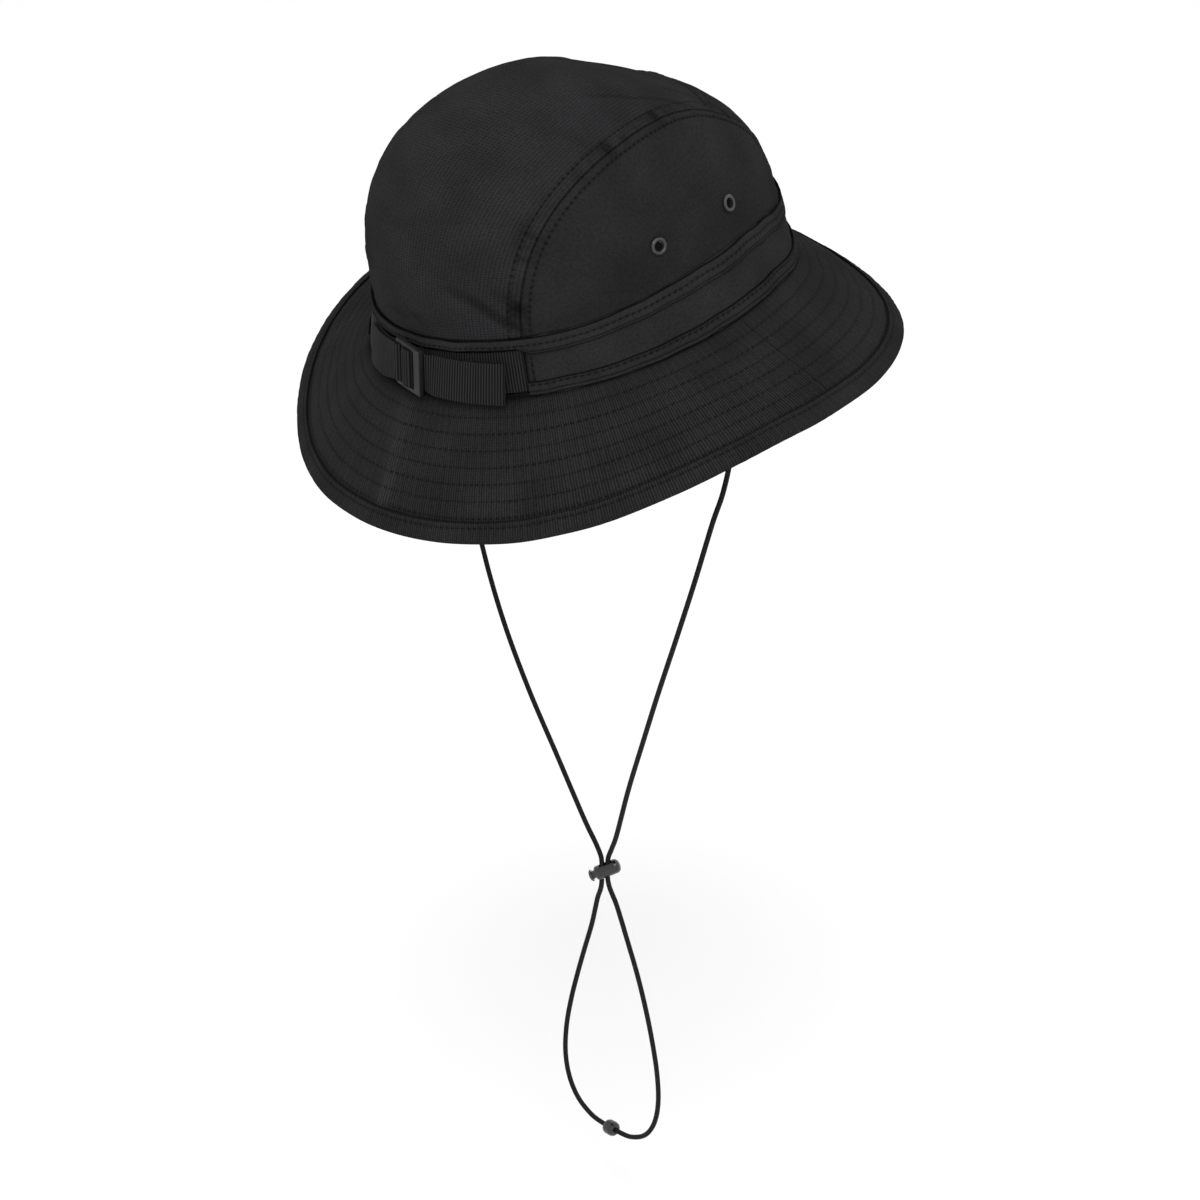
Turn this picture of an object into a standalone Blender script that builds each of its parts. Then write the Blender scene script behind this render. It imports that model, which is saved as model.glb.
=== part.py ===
"""Bucket hat with a drooping stitched brim, a webbing size adjuster at the back and a corded chin strap.

World frame: metres, +Z up, the front of the hat faces -Y and the wearer's left is +X.
The hat's own axis leans back by LEAN_DEG, as on a head; the chin cord hangs straight down.
The origin is the middle of the head opening, at the seam between the band and the brim.
Angles called "phi" run round the hat from the middle of the back, towards the wearer's right.
"""
import math

import bmesh
import bpy
from mathutils import Matrix, Vector

MM = 0.001

# Head opening and band
LEAN_DEG = 14.4
HALF_LENGTH = 104.0
HALF_WIDTH = 87.4
BAND_HEIGHT = 24.2
BAND_TAPER = 6.6
BAND_END_DEG = 38.4
SIDE_RISE = 0.18
SIDE_SPAN_DEG = (50.0, 95.0)
FRONT_DIP = 11.0
FRONT_TUCK = 4.0
FRONT_SPAN_DEG = (105.0, 150.0)
GAP = 0.3
BAND_THICKNESS = 1.2
WELT_THICKNESS = 0.9
UPPER_WELT_HEIGHT = 7.6
REAR_WELT_HEIGHT = 4.4
LOWER_WELT_HEIGHT = 5.4
GUSSET_RECESS = 1.5
GUSSET_THICKNESS = 0.8
SWEATBAND_RECESS = 2.7
SWEATBAND_THICKNESS = 1.2
SWEATBAND_BOTTOM = 0.6
SWEATBAND_TOP = 30.0
RING_STEPS = 60

# Crown
CROWN_HEIGHT = 82.0
CROWN_LEAN = 6.9
CROWN_SQUARENESS = (1.95, 0.95)
CROWN_ROUNDNESS = (2.26, -0.155)
PANEL_THICKNESS = 1.0
SEAM_HALF_WIDTH = 0.487
SEAM_FLARE = 0.134
SEAM_NARROWING = 0.057
CROSS_SEAM_Y = -0.52
CROSS_SEAM_BOW = 0.13
SEAM_GAP = 0.002
TAPE_HALF_WIDTH = 0.045
TAPE_RECESS = 1.8
TAPE_THICKNESS = 0.5

# Ventilation eyelets: places on the flattened crown, where its rim has a radius of 1
EYELET_PLACES = {"rear": (0.855, 0.141), "front": (0.8465, -0.2575)}
EYELET_HOLE_RADIUS = 2.3
EYELET_BARREL_RADIUS = 2.55
EYELET_RADIUS = 3.8
EYELET_CUT_RADIUS = 2.85
WASHER_RADIUS = 4.2
EYELET_STEPS = 16
SCREEN_RADIUS = 2.2
SCREEN_SPAN = (-1.6, -1.2)

# Brim
BRIM_WIDTH = (61.5, 0.6)
BRIM_DROOP_DEG = (40.6, 0.2, 14.7, 0.2, -1.2, -1.1)
BRIM_WAVE_DEG = (4.3, -4.2, 2.1, 0.8, 0.5)
BRIM_SIDE_SEAM_DEG = 96.0
BRIM_LAYERS = {"top": (0.0, -0.8), "interlining": (-1.05, -1.75), "under": (-2.0, -2.8)}
BRIM_LAYER_MARGIN = 1.1
BINDING_WIDTH = 9.0
BRIM_ROWS = 3

# Webbing adjuster at the back
WEBBING_WIDTH = 18.0
WEBBING_THICKNESS = 1.2
STRAP_START_DEG = 38.1
STRAP_TAIL_DEG = 32.7
STRAP_LIFT = (10.2, 10.6)
STRAP_UNDER_TAIL_DEG = 7.2
TAIL_REJOIN_DEG = 11.4
TAIL_LIFT = (9.2, 6.4)
TAIL_OUT = (3.0, 4.0)
TAIL_ROLL_DEG = (7.0, 8.0)
LOOP_LIFT = (9.4, 10.5)
LOOP_STANDS_OFF = 2.3
LOOP_RETURN_OUT = (3.7, 1.6)
LOOP_END_DEG = -22.0
BUCKLE_FACING_DEG = -3.6
BUCKLE_ROLL_DEG = 8.3
BUCKLE_DIP = 0.15
BUCKLE_HEIGHT = 22.4
BUCKLE_THICKNESS = 2.4
BUCKLE_LIFT = 12.0
BUCKLE_BARS = ((-1.1, 1.1), (5.1, 7.9), (10.9, 15.3))
BUCKLE_SLOT_HEIGHT = 18.6
BUCKLE_PIVOT_DEG = -1.6
BUCKLE_PIVOT_OUT = 3.4

# Chin cord
CORD_RADIUS = 1.2
CORD_TWIST = 1.05
CORD_TWIST_REACH = 20.0
CORD_STRAIGHT = 5.0
CORD_POINT_STEP = 6.2
ANCHOR_DEG = 97.0
ANCHOR_SIZE = (10.0, 3.4, 14.5)
ANCHOR_BOTTOM = 1.5
ANCHOR_OUT = -6.3
STRAND_ROUTE = (
    (81.2, -11.6, 2.0), (81.6, -11.5, -6.0), (83.6, -10.6, -20.0), (86.5, -8.8, -38.0),
    (88.4, -6.0, -58.0), (87.6, -2.4, -75.0), (84.5, 1.0, -90.0), (76.6, 4.2, -120.0),
    (66.0, 5.0, -150.0), (53.6, 4.0, -180.0), (40.0, 0.9, -210.0), (25.4, -3.6, -240.0),
    (11.6, -8.6, -270.0), (5.2, -10.6, -280.5), (1.7, -11.3, -286.5), (0.9, -11.4, -290.0),
    (0.9, -11.4, -293.8),
)
LOOP_ROUTE = (
    (0.9, -11.4, -294.1), (0.9, -11.4, -298.2), (1.9, -11.8, -302.5), (3.7, -12.4, -306.2),
    (6.8, -13.1, -312.0),
    (12.8, -14.6, -328.0), (19.0, -15.4, -344.0), (24.6, -15.7, -360.0), (29.4, -15.7, -376.0),
    (32.9, -15.7, -392.0), (33.8, -15.7, -407.0), (31.0, -15.7, -419.5), (24.5, -15.7, -428.8),
    (14.5, -15.7, -434.2), (5.0, -15.7, -435.4), (0.0, -15.7, -435.4),
)

# Cord lock, a barrel with a sprung plunger, and the end bead
LOCK_CENTRE = (0.0, -11.4, -293.95)
LOCK_TURN_DEG = 228.6
LOCK_TILT_DEG = 24.0
LOCK_RADIUS = 3.5
LOCK_ENDS = (-4.6, 7.8)
LOCK_BORE_RADIUS = 2.3
LOCK_BORE_END = 6.6
LOCK_SLOT = (5.7, 3.0)
PLUNGER_RADIUS = 2.0
PLUNGER_STEM_END = 4.0
PLUNGER_HEAD = (-7.9, -6.3)
PLUNGER_TRAVEL = 1.5
SPRING_SPAN = (4.3, 6.3)
SPRING_RADIUS = 1.5
SPRING_WIRE_RADIUS = 0.22
SPRING_TURNS = 2
BEAD_CENTRE = (0.0, -15.7, -435.4)
BEAD_LENGTH = 7.0
BEAD_RADIUS = 3.7
BEAD_HOLE_RADIUS = 1.5

# Finishes: base colour, roughness, metallic
CROWN_CLOTH = ((0.026, 0.026, 0.029), 0.82, 0.0)
BRIM_CLOTH = ((0.022, 0.022, 0.024), 0.86, 0.0)
LINING_CLOTH = ((0.018, 0.018, 0.019), 0.9, 0.0)
WEBBING = ((0.017, 0.017, 0.018), 0.7, 0.0)
MATT_PLASTIC = ((0.012, 0.012, 0.013), 0.5, 0.0)
GLOSSY_PLASTIC = ((0.01, 0.01, 0.011), 0.18, 0.0)
DARK_METAL = ((0.03, 0.03, 0.032), 0.35, 0.9)
BRAIDED_CORD = ((0.013, 0.013, 0.014), 0.75, 0.0)


# ---------------------------------------------------------------- shapes of the hat, in millimetres

def around(phi, half_width, half_length):
    """A point on an oval round the hat's axis, phi measured from the back towards the wearer's right."""
    return Vector((-half_width * math.sin(phi), half_length * math.cos(phi), 0.0))


def smooth_step(low, high, value):
    share = min(max((value - low) / (high - low), 0.0), 1.0)
    return share * share * (3.0 - 2.0 * share)


def from_back(phi):
    """Degrees round from the middle of the back, either way."""
    return abs(math.remainder(math.degrees(phi), 360.0))


def side_rise(phi):
    """How much taller the band is than at the back, as a factor."""
    return 1.0 + SIDE_RISE * smooth_step(*SIDE_SPAN_DEG, from_back(phi))


def front_share(phi):
    """From 0 at the sides to 1 in front, where the hat sits lower and closer in."""
    return smooth_step(*FRONT_SPAN_DEG, from_back(phi))


def oval_normal(phi):
    """The outward direction of the head oval."""
    normal = Vector((-math.sin(phi) / HALF_WIDTH, math.cos(phi) / HALF_LENGTH, 0.0))
    return normal.normalized()


BAND_SLOPE = BAND_TAPER / BAND_HEIGHT


def band_normal(phi):
    return (oval_normal(phi) + Vector((0.0, 0.0, BAND_SLOPE))).normalized()


def band_up(phi):
    """The direction up the cone of the band."""
    return (Vector((0.0, 0.0, 1.0)) - oval_normal(phi) * BAND_SLOPE).normalized()


def band_point(phi, lift, out=0.0):
    """A point `lift` up the cone of the band from the brim seam and `out` in front of its outer face."""
    tuck = FRONT_TUCK * front_share(phi)
    narrowing = tuck + (BAND_TAPER - tuck) * lift / BAND_HEIGHT
    point = around(phi, HALF_WIDTH - narrowing, HALF_LENGTH - narrowing)
    height = lift * side_rise(phi) - FRONT_DIP * front_share(phi)
    return point + band_normal(phi) * out + Vector((0.0, 0.0, height))


def crown_point(x, y):
    """The crown's outer face over a flat disc of radius 1, whose rim is the foot of the crown."""
    reach = max(math.hypot(x, y), 1e-7)
    back = y / reach
    rise = (1.0 - min(reach, 1.0)) * math.pi / 2
    squareness = CROWN_SQUARENESS[0] + CROWN_SQUARENESS[1] * back
    squareness = 2.0 + (squareness - 2.0) * (1.0 - math.sin(rise) ** 12)
    roundness = CROWN_ROUNDNESS[0] + CROWN_ROUNDNESS[1] * back
    spread = math.cos(rise) ** (2.0 / squareness)
    height = math.sin(rise) ** (2.0 / roundness)
    phi = math.atan2(-x, y)
    settled = BAND_HEIGHT * (side_rise(phi) - 1.0) - FRONT_DIP * front_share(phi)
    return Vector((
        (HALF_WIDTH - BAND_TAPER) * spread * x / reach,
        (HALF_LENGTH - BAND_TAPER) * spread * back + CROWN_LEAN * math.sin(rise),
        BAND_HEIGHT + CROWN_HEIGHT * height + settled * (1.0 - height) ** 2,
    ))


def crown_normal(x, y):
    """The crown's outward direction, from small steps towards the disc's middle."""
    step = 2e-3
    here = crown_point(x, y)
    in_x = crown_point(x - math.copysign(step, x), y) - here
    in_y = crown_point(x, y - math.copysign(step, y)) - here
    normal = in_x.cross(in_y).normalized()
    away = here - Vector((0.0, 0.0, BAND_HEIGHT - FRONT_DIP - 1.0))
    return normal if normal.dot(away) > 0.0 else -normal


def brim_slope(phi):
    """The direction down the brim from the band."""
    droop = sum(part * math.cos(n * phi) for n, part in enumerate(BRIM_DROOP_DEG))
    droop += sum(part * math.sin(n * phi) for n, part in enumerate(BRIM_WAVE_DEG, start=1))
    droop = math.radians(droop)
    return oval_normal(phi) * math.cos(droop) - Vector((0.0, 0.0, math.sin(droop)))


def brim_point(phi, along):
    """A point on the brim's upper face, `along` millimetres or so down it from the band."""
    settled = front_share(phi) * (1.0 - along / brim_width(phi))
    start = around(phi, HALF_WIDTH - FRONT_TUCK * settled, HALF_LENGTH - FRONT_TUCK * settled)
    return start + brim_slope(phi) * along - Vector((0.0, 0.0, FRONT_DIP * settled))


def brim_normal(phi, along):
    """The brim's upward direction."""
    step = 0.01
    sideways = brim_point(phi + step, along) - brim_point(phi - step, along)
    downwards = brim_point(phi, along + 1.0) - brim_point(phi, along - 1.0)
    normal = sideways.cross(downwards).normalized()
    return normal if normal.z > 0.0 else -normal


def brim_width(phi):
    return BRIM_WIDTH[0] + BRIM_WIDTH[1] * math.cos(phi)


def seam_x(y):
    """Half the width of the middle panels at y on the flattened crown."""
    if y > 0.1:
        return SEAM_HALF_WIDTH + SEAM_FLARE * ((y - 0.1) / 0.684) ** 2.2
    if y < -0.1:
        return SEAM_HALF_WIDTH - SEAM_NARROWING * math.sin(math.pi * (-y - 0.1) / 1.2) ** 2
    return SEAM_HALF_WIDTH


def rim_crossing(inside, outside, gap):
    """Where an edge beside the seam meets the crown's rim, by halving the interval."""
    for _ in range(40):
        middle = (inside + outside) / 2
        if math.hypot(seam_x(middle) + gap, middle) < 1.0:
            inside = middle
        else:
            outside = middle
    return inside


MIDDLE_ENDS_Y = [rim_crossing(*span, -SEAM_GAP) for span in ((0.5, 0.95), (-0.5, -0.98))]
SIDE_ENDS_Y = [rim_crossing(*span, SEAM_GAP) for span in ((0.5, 0.95), (-0.5, -0.98))]


def mix(a, b, share):
    return a + (b - a) * share


# ---------------------------------------------------------------- objects and materials

def clear_scene():
    for item in list(bpy.data.objects):
        bpy.data.objects.remove(item, do_unlink=True)


def make_empty(name, location=(0.0, 0.0, 0.0), parent=None):
    empty = bpy.data.objects.new(name, None)
    empty.location = Vector(location) * MM
    empty.parent = parent
    bpy.context.collection.objects.link(empty)
    return empty


def give_material(item, finish):
    colour, roughness, metallic = finish
    material = bpy.data.materials.new(item.name + "_finish")
    material.use_nodes = True
    shader = material.node_tree.nodes["Principled BSDF"]
    shader.inputs["Base Color"].default_value = (*colour, 1.0)
    shader.inputs["Roughness"].default_value = roughness
    shader.inputs["Metallic"].default_value = metallic
    item.data.materials.append(material)


def add_object(name, data, finish, parent, origin=(0.0, 0.0, 0.0)):
    item = bpy.data.objects.new(name, data)
    item.parent = parent
    item.location = Vector(origin) * MM
    bpy.context.collection.objects.link(item)
    give_material(item, finish)
    return item


def mesh_from(name, points, faces, origin=(0.0, 0.0, 0.0), smooth_deg=40.0):
    """A mesh of points in millimetres, moved so that `origin` is its own zero."""
    mesh = bpy.data.meshes.new(name)
    mesh.from_pydata([(Vector(point) - Vector(origin)) * MM for point in points], [], faces)
    body = bmesh.new()
    body.from_mesh(mesh)
    bmesh.ops.recalc_face_normals(body, faces=body.faces)
    if body.calc_volume(signed=True) < 0.0:
        bmesh.ops.reverse_faces(body, faces=body.faces)
    body.to_mesh(mesh)
    body.free()
    mesh.shade_smooth()
    mesh.set_sharp_from_angle(angle=math.radians(smooth_deg))
    return mesh


def layer(surface, columns, rows, outer, inner, closed=False):
    """A closed solid between two offsets of a surface, which gives a point and its outward normal.

    `closed` joins the last column to the first.
    """
    points = []
    stations = columns if closed else columns + 1
    for offset in (outer, inner):
        for column in range(stations):
            for row in range(rows + 1):
                point, normal = surface(column / columns, row / rows)
                points.append(point + normal * offset)

    def index(side, column, row):
        return side * stations * (rows + 1) + (column % stations) * (rows + 1) + row

    faces = []
    for column in range(columns):
        for row in range(rows):
            here, right = (column, row), (column + 1, row)
            above, far = (column, row + 1), (column + 1, row + 1)
            for corners in ((here, right, far), (here, far, above)):
                faces.append([index(0, *corner) for corner in corners])
                faces.append([index(1, *corner) for corner in reversed(corners)])
        for row in (0, rows):
            faces.append([index(0, column, row), index(1, column, row),
                          index(1, column + 1, row), index(0, column + 1, row)])
    if not closed:
        for column in (0, columns):
            for row in range(rows):
                faces.append([index(0, column, row), index(0, column, row + 1),
                              index(1, column, row + 1), index(1, column, row)])
    return points, faces


def sweep(sections, closed=False):
    """A closed solid through rings of points, all with the same count."""
    count = len(sections[0])
    points = [point for section in sections for point in section]
    faces = []
    spans = len(sections) if closed else len(sections) - 1
    for station in range(spans):
        here = station * count
        there = ((station + 1) % len(sections)) * count
        for corner in range(count):
            after = (corner + 1) % count
            faces.append([here + corner, here + after, there + after, there + corner])
    if not closed:
        faces.append(list(range(count)))
        faces.append(list(range(len(points) - count, len(points))))
    return points, faces


def turned(profile, steps, frame):
    """A closed ring: a profile of (radius, height) pairs turned about the frame's Z axis."""
    sections = []
    for step in range(steps):
        angle = 2 * math.pi * step / steps
        ring = [frame @ Vector((r * math.cos(angle), r * math.sin(angle), z)) for r, z in profile]
        sections.append(ring)
    return sweep(sections, closed=True)


def lathed(profile, steps, frame):
    """A solid with closed ends: a profile of (radius, height) pairs turned about the frame's Z axis."""
    sections = []
    for r, z in profile:
        angles = [2 * math.pi * step / steps for step in range(steps)]
        sections.append([frame @ Vector((r * math.cos(a), r * math.sin(a), z)) for a in angles])
    return sweep(sections)


def cut(item, cutters):
    """Boolean cuts; the cutters stay as hidden wire guides."""
    for cutter in cutters:
        cutter.hide_render = True
        cutter.display_type = "WIRE"
        modifier = item.modifiers.new("cut", "BOOLEAN")
        modifier.operation = "DIFFERENCE"
        modifier.object = cutter


def add_cutter(name, points, faces, parent, origin=(0.0, 0.0, 0.0)):
    cutter = bpy.data.objects.new(name, mesh_from(name, points, faces, origin))
    cutter.parent = parent
    cutter.location = Vector(origin) * MM
    bpy.context.collection.objects.link(cutter)
    return cutter


def box_points(size, frame):
    """The corners and faces of a box centred on a frame."""
    points = []
    for x in (-0.5, 0.5):
        for y in (-0.5, 0.5):
            for z in (-0.5, 0.5):
                points.append(frame @ Vector((x * size[0], y * size[1], z * size[2])))
    faces = [(0, 1, 3, 2), (4, 6, 7, 5), (0, 4, 5, 1), (2, 3, 7, 6), (0, 2, 6, 4), (1, 5, 7, 3)]
    return points, faces


def facing(origin, z_axis, x_hint):
    """A frame at `origin` with its Z axis along `z_axis` and X as near as it can be to `x_hint`."""
    z_axis = Vector(z_axis).normalized()
    y_axis = z_axis.cross(Vector(x_hint)).normalized()
    x_axis = y_axis.cross(z_axis)
    rotation = Matrix((x_axis, y_axis, z_axis)).transposed().to_4x4()
    return Matrix.Translation(Vector(origin)) @ rotation


# ---------------------------------------------------------------- crown

def rim_bulge(u, end_y):
    """How far the rim stands beyond the straight line between the two seam ends."""
    return math.sqrt(1.0 - (u * (seam_x(end_y) - SEAM_GAP)) ** 2) - abs(end_y)


def on_crown(x, y):
    return crown_point(x, y), crown_normal(x, y)


def top_panel_surface(s, t):
    """The strip over the top and down the back, between the two arched seams."""
    u = 2.0 * s - 1.0
    back_y = MIDDLE_ENDS_Y[0]
    y = mix(back_y, CROSS_SEAM_Y + SEAM_GAP, t)
    x = u * (seam_x(y) - SEAM_GAP)
    y += (1.0 - t) ** 2 * rim_bulge(u, back_y) - t ** 2 * CROSS_SEAM_BOW * (1.0 - u * u)
    return on_crown(-x, y)


def front_panel_surface(s, t):
    u = 2.0 * s - 1.0
    front_y = MIDDLE_ENDS_Y[1]
    y = mix(CROSS_SEAM_Y - SEAM_GAP, front_y, t)
    x = u * (seam_x(y) - SEAM_GAP)
    y -= (1.0 - t) * CROSS_SEAM_BOW * (1.0 - u * u) + t * rim_bulge(u, front_y)
    return on_crown(-x, y)


def seam_place(y):
    return Vector((seam_x(y) + SEAM_GAP, y))


def side_panel_surface(side):
    """The half-moon panel over an ear: a patch between the arched seam and the crown's foot."""
    back_corner_y = 0.35
    front_corner_y = -0.42
    back_y, front_y = SIDE_ENDS_Y
    back_phi = math.atan2(seam_x(back_y) + SEAM_GAP, back_y)
    front_phi = math.atan2(seam_x(front_y) + SEAM_GAP, front_y)

    def rim(s):
        phi = mix(back_phi, front_phi, s)
        return Vector((math.sin(phi), math.cos(phi)))

    def surface(s, t):
        foot = rim(s)
        top = seam_place(mix(back_corner_y, front_corner_y, s))
        back = seam_place(mix(back_y, back_corner_y, t))
        front = seam_place(mix(front_y, front_corner_y, t))
        edges = mix(foot, top, t) + mix(back, front, s)
        corners = mix(mix(rim(0.0), rim(1.0), s),
                      mix(seam_place(back_corner_y), seam_place(front_corner_y), s), t)
        place = edges - corners
        return on_crown(side * place.x, place.y)
    return surface


def tape_surface(side):
    """The tape that covers an arched seam on the inside."""
    def surface(s, t):
        y = mix(MIDDLE_ENDS_Y[0] - 0.02, MIDDLE_ENDS_Y[1] + 0.02, s)
        x = seam_x(y) + mix(-TAPE_HALF_WIDTH, TAPE_HALF_WIDTH, t)
        reach = math.hypot(x, y)
        if reach > 0.985:
            x *= 0.985 / reach
            y *= 0.985 / reach
        return on_crown(side * x, y)
    return surface


def add_layer(name, surface, grid, offsets, finish, parent, closed=False):
    points, faces = layer(surface, *grid, *offsets, closed)
    return add_object(name, mesh_from(name, points, faces), finish, parent)


def build_crown(hat):
    panel = (0.0, -PANEL_THICKNESS)
    tape = (-TAPE_RECESS, -TAPE_RECESS - TAPE_THICKNESS)
    add_layer("crown_top_panel", top_panel_surface, (12, 18), panel, CROWN_CLOTH, hat)
    add_layer("crown_front_panel", front_panel_surface, (10, 7), panel, CROWN_CLOTH, hat)
    flange = [(EYELET_HOLE_RADIUS, -2.3), (EYELET_HOLE_RADIUS, 0.8), (2.75, 1.15), (3.3, 1.1),
              (EYELET_RADIUS, 0.65), (EYELET_RADIUS, GAP), (EYELET_BARREL_RADIUS, GAP),
              (EYELET_BARREL_RADIUS, -2.3)]
    washer_top = -PANEL_THICKNESS - 2 * GAP
    washer = [(EYELET_CUT_RADIUS, washer_top), (WASHER_RADIUS, washer_top),
              (WASHER_RADIUS, washer_top - 0.5), (EYELET_CUT_RADIUS, washer_top - 0.5)]
    screen = [(SCREEN_RADIUS, height) for height in SCREEN_SPAN]
    cutter = [(EYELET_CUT_RADIUS, -4.0), (EYELET_CUT_RADIUS, 4.0)]
    for name, side in (("right", -1.0), ("left", 1.0)):
        surface = side_panel_surface(side)
        side_panel = add_layer("crown_side_panel_" + name, surface, (16, 9), panel, CROWN_CLOTH, hat)
        add_layer("seam_tape_" + name, tape_surface(side), (24, 1), tape, LINING_CLOTH, hat)
        cutters = []
        for place, (x, y) in EYELET_PLACES.items():
            point, normal = on_crown(side * x, y)
            frame = facing(point, normal, (0.0, 1.0, 0.0))
            label = place + "_" + name
            points, faces = turned(flange, EYELET_STEPS, frame)
            add_object("eyelet_" + label, mesh_from("eyelet", points, faces), DARK_METAL, hat)
            points, faces = turned(washer, EYELET_STEPS, frame)
            add_object("eyelet_washer_" + label, mesh_from("washer", points, faces), DARK_METAL, hat)
            points, faces = lathed(screen, EYELET_STEPS, frame)
            add_object("vent_screen_" + label, mesh_from("vent_screen", points, faces), LINING_CLOTH, hat)
            points, faces = lathed(cutter, EYELET_STEPS, frame)
            cutters.append(add_cutter("eyelet_cutter_" + label, points, faces, hat))
        cut(side_panel, cutters)


# ---------------------------------------------------------------- band, welts, gusset and sweatband

def band_surface(phi_from, phi_to, bottom, top):
    def surface(s, t):
        phi = math.radians(mix(phi_from, phi_to, s))
        return band_point(phi, mix(bottom, top, t)), band_normal(phi)
    return surface


def welt_surface(s, t):
    """The welt at the crown's foot, lower over the gap that holds the adjuster."""
    phi_deg = 360.0 * s
    from_back = min(phi_deg, 360.0 - phi_deg)
    share = min(max((from_back - 36.0) / 6.0, 0.0), 1.0)
    height = mix(REAR_WELT_HEIGHT, UPPER_WELT_HEIGHT, share)
    top = BAND_HEIGHT - GAP
    phi = math.radians(phi_deg)
    return band_point(phi, mix(top - height, top, t)), band_normal(phi)


def add_strip(name, span, lifts, offsets, finish, parent):
    """A strip round the band; a span of None goes all the way round."""
    closed = span is None
    phi_from, phi_to = (0.0, 360.0) if closed else span
    steps = max(2, round((phi_to - phi_from) * RING_STEPS / 360.0))
    surface = band_surface(phi_from, phi_to, *lifts)
    return add_layer(name, surface, (steps, 1), offsets, finish, parent, closed)


def build_band(hat):
    top = BAND_HEIGHT - GAP
    around_span = (BAND_END_DEG, 360.0 - BAND_END_DEG)
    gusset_span = (-BAND_END_DEG + 0.6, BAND_END_DEG - 0.6)
    welt = (GAP + WELT_THICKNESS, GAP)
    gusset = (-GUSSET_RECESS, -GUSSET_RECESS - GUSSET_THICKNESS)
    sweat = (-SWEATBAND_RECESS, -SWEATBAND_RECESS - SWEATBAND_THICKNESS)
    add_strip("hat_band", around_span, (GAP, top), (0.0, -BAND_THICKNESS), CROWN_CLOTH, hat)
    add_layer("crown_welt", welt_surface, (RING_STEPS, 1), welt, CROWN_CLOTH, hat, True)
    add_strip("brim_welt", around_span, (GAP, GAP + LOWER_WELT_HEIGHT), welt, CROWN_CLOTH, hat)
    add_strip("rear_gusset", gusset_span, (GAP, top), gusset, CROWN_CLOTH, hat)
    add_strip("sweatband", None, (SWEATBAND_BOTTOM, SWEATBAND_TOP), sweat, LINING_CLOTH, hat)


# ---------------------------------------------------------------- brim

def brim_surface(phi_from, phi_to):
    def surface(s, t):
        phi = math.radians(mix(phi_from, phi_to, s))
        along = mix(GAP, brim_width(phi) - BRIM_LAYER_MARGIN, t)
        return brim_point(phi, along), brim_normal(phi, along)
    return surface


def add_brim_layer(name, span, offsets, finish, parent):
    closed = span is None
    phi_from, phi_to = (0.0, 360.0) if closed else span
    steps = round((phi_to - phi_from) * RING_STEPS / 360.0)
    surface = brim_surface(phi_from, phi_to)
    return add_layer(name, surface, (steps, BRIM_ROWS), offsets, finish, parent, closed)


def build_brim(hat):
    seam = BRIM_SIDE_SEAM_DEG
    clear = 0.1
    sections = {
        "brim_top_rear_right": (clear, seam - clear),
        "brim_top_front": (seam + clear, 360.0 - seam - clear),
        "brim_top_rear_left": (360.0 - seam + clear, 360.0 - clear),
    }
    for name, span in sections.items():
        add_brim_layer(name, span, BRIM_LAYERS["top"], BRIM_CLOTH, hat)
    add_brim_layer("brim_interlining", None, BRIM_LAYERS["interlining"], LINING_CLOTH, hat)
    add_brim_layer("brim_under_layer", None, BRIM_LAYERS["under"], BRIM_CLOTH, hat)
    build_binding(hat)


def build_binding(hat):
    """The folded strip round the brim's edge, a deep narrow C."""
    thickness = 0.6
    top = GAP + thickness
    bottom = BRIM_LAYERS["under"][1] - GAP - thickness
    cap = BRIM_LAYER_MARGIN - GAP
    corner = 0.5
    profile = [(-BINDING_WIDTH, top), (-corner, top), (0.0, top - corner), (0.0, bottom + corner),
               (-corner, bottom), (-BINDING_WIDTH, bottom), (-BINDING_WIDTH, bottom + thickness),
               (-cap, bottom + thickness), (-cap, top - thickness), (-BINDING_WIDTH, top - thickness)]
    sections = []
    for station in range(RING_STEPS):
        phi = 2 * math.pi * station / RING_STEPS
        width = brim_width(phi)
        normal = brim_normal(phi, width - BRIM_LAYER_MARGIN)
        sections.append([brim_point(phi, width + along) + normal * out for along, out in profile])
    points, faces = sweep(sections, closed=True)
    mesh = mesh_from("brim_edge_binding", points, faces)
    add_object("brim_edge_binding", mesh, BRIM_CLOTH, hat)


# ---------------------------------------------------------------- webbing adjuster

def buckle_directions():
    """The buckle's own directions: along its length, up its bars and out of its face."""
    angle = math.radians(BUCKLE_FACING_DEG)
    level = Vector((-math.cos(angle), -math.sin(angle), 0.0))
    outwards = Vector((-math.sin(angle), math.cos(angle), BAND_SLOPE - BUCKLE_DIP)).normalized()
    across, up = rolled(level, outwards.cross(level), BUCKLE_ROLL_DEG)
    return across, up, outwards


def rolled(across, up, roll_deg):
    """Two directions square to each other, turned in their own plane."""
    roll = math.radians(roll_deg)
    return (across * math.cos(roll) - up * math.sin(roll), up * math.cos(roll) + across * math.sin(roll))


BUCKLE_PIVOT = band_point(math.radians(BUCKLE_PIVOT_DEG), BUCKLE_LIFT, BUCKLE_PIVOT_OUT)


def buckle_place(along, out):
    """A place beside the buckle, `along` from its pivot bar and `out` from its middle plane."""
    across, _, outwards = buckle_directions()
    return BUCKLE_PIVOT + across * along + outwards * out


def ring_station(phi_deg, out, lift, roll_deg=0.0):
    """A place on a ribbon round the band and the direction up its width."""
    phi = math.radians(phi_deg)
    up = band_up(phi)
    return band_point(phi, lift, out), rolled(up.cross(band_normal(phi)), up, roll_deg)[1]


def buckle_station(along, out):
    """A place on a ribbon through the buckle and the direction up its width."""
    return buckle_place(along, out), buckle_directions()[1]


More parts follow.
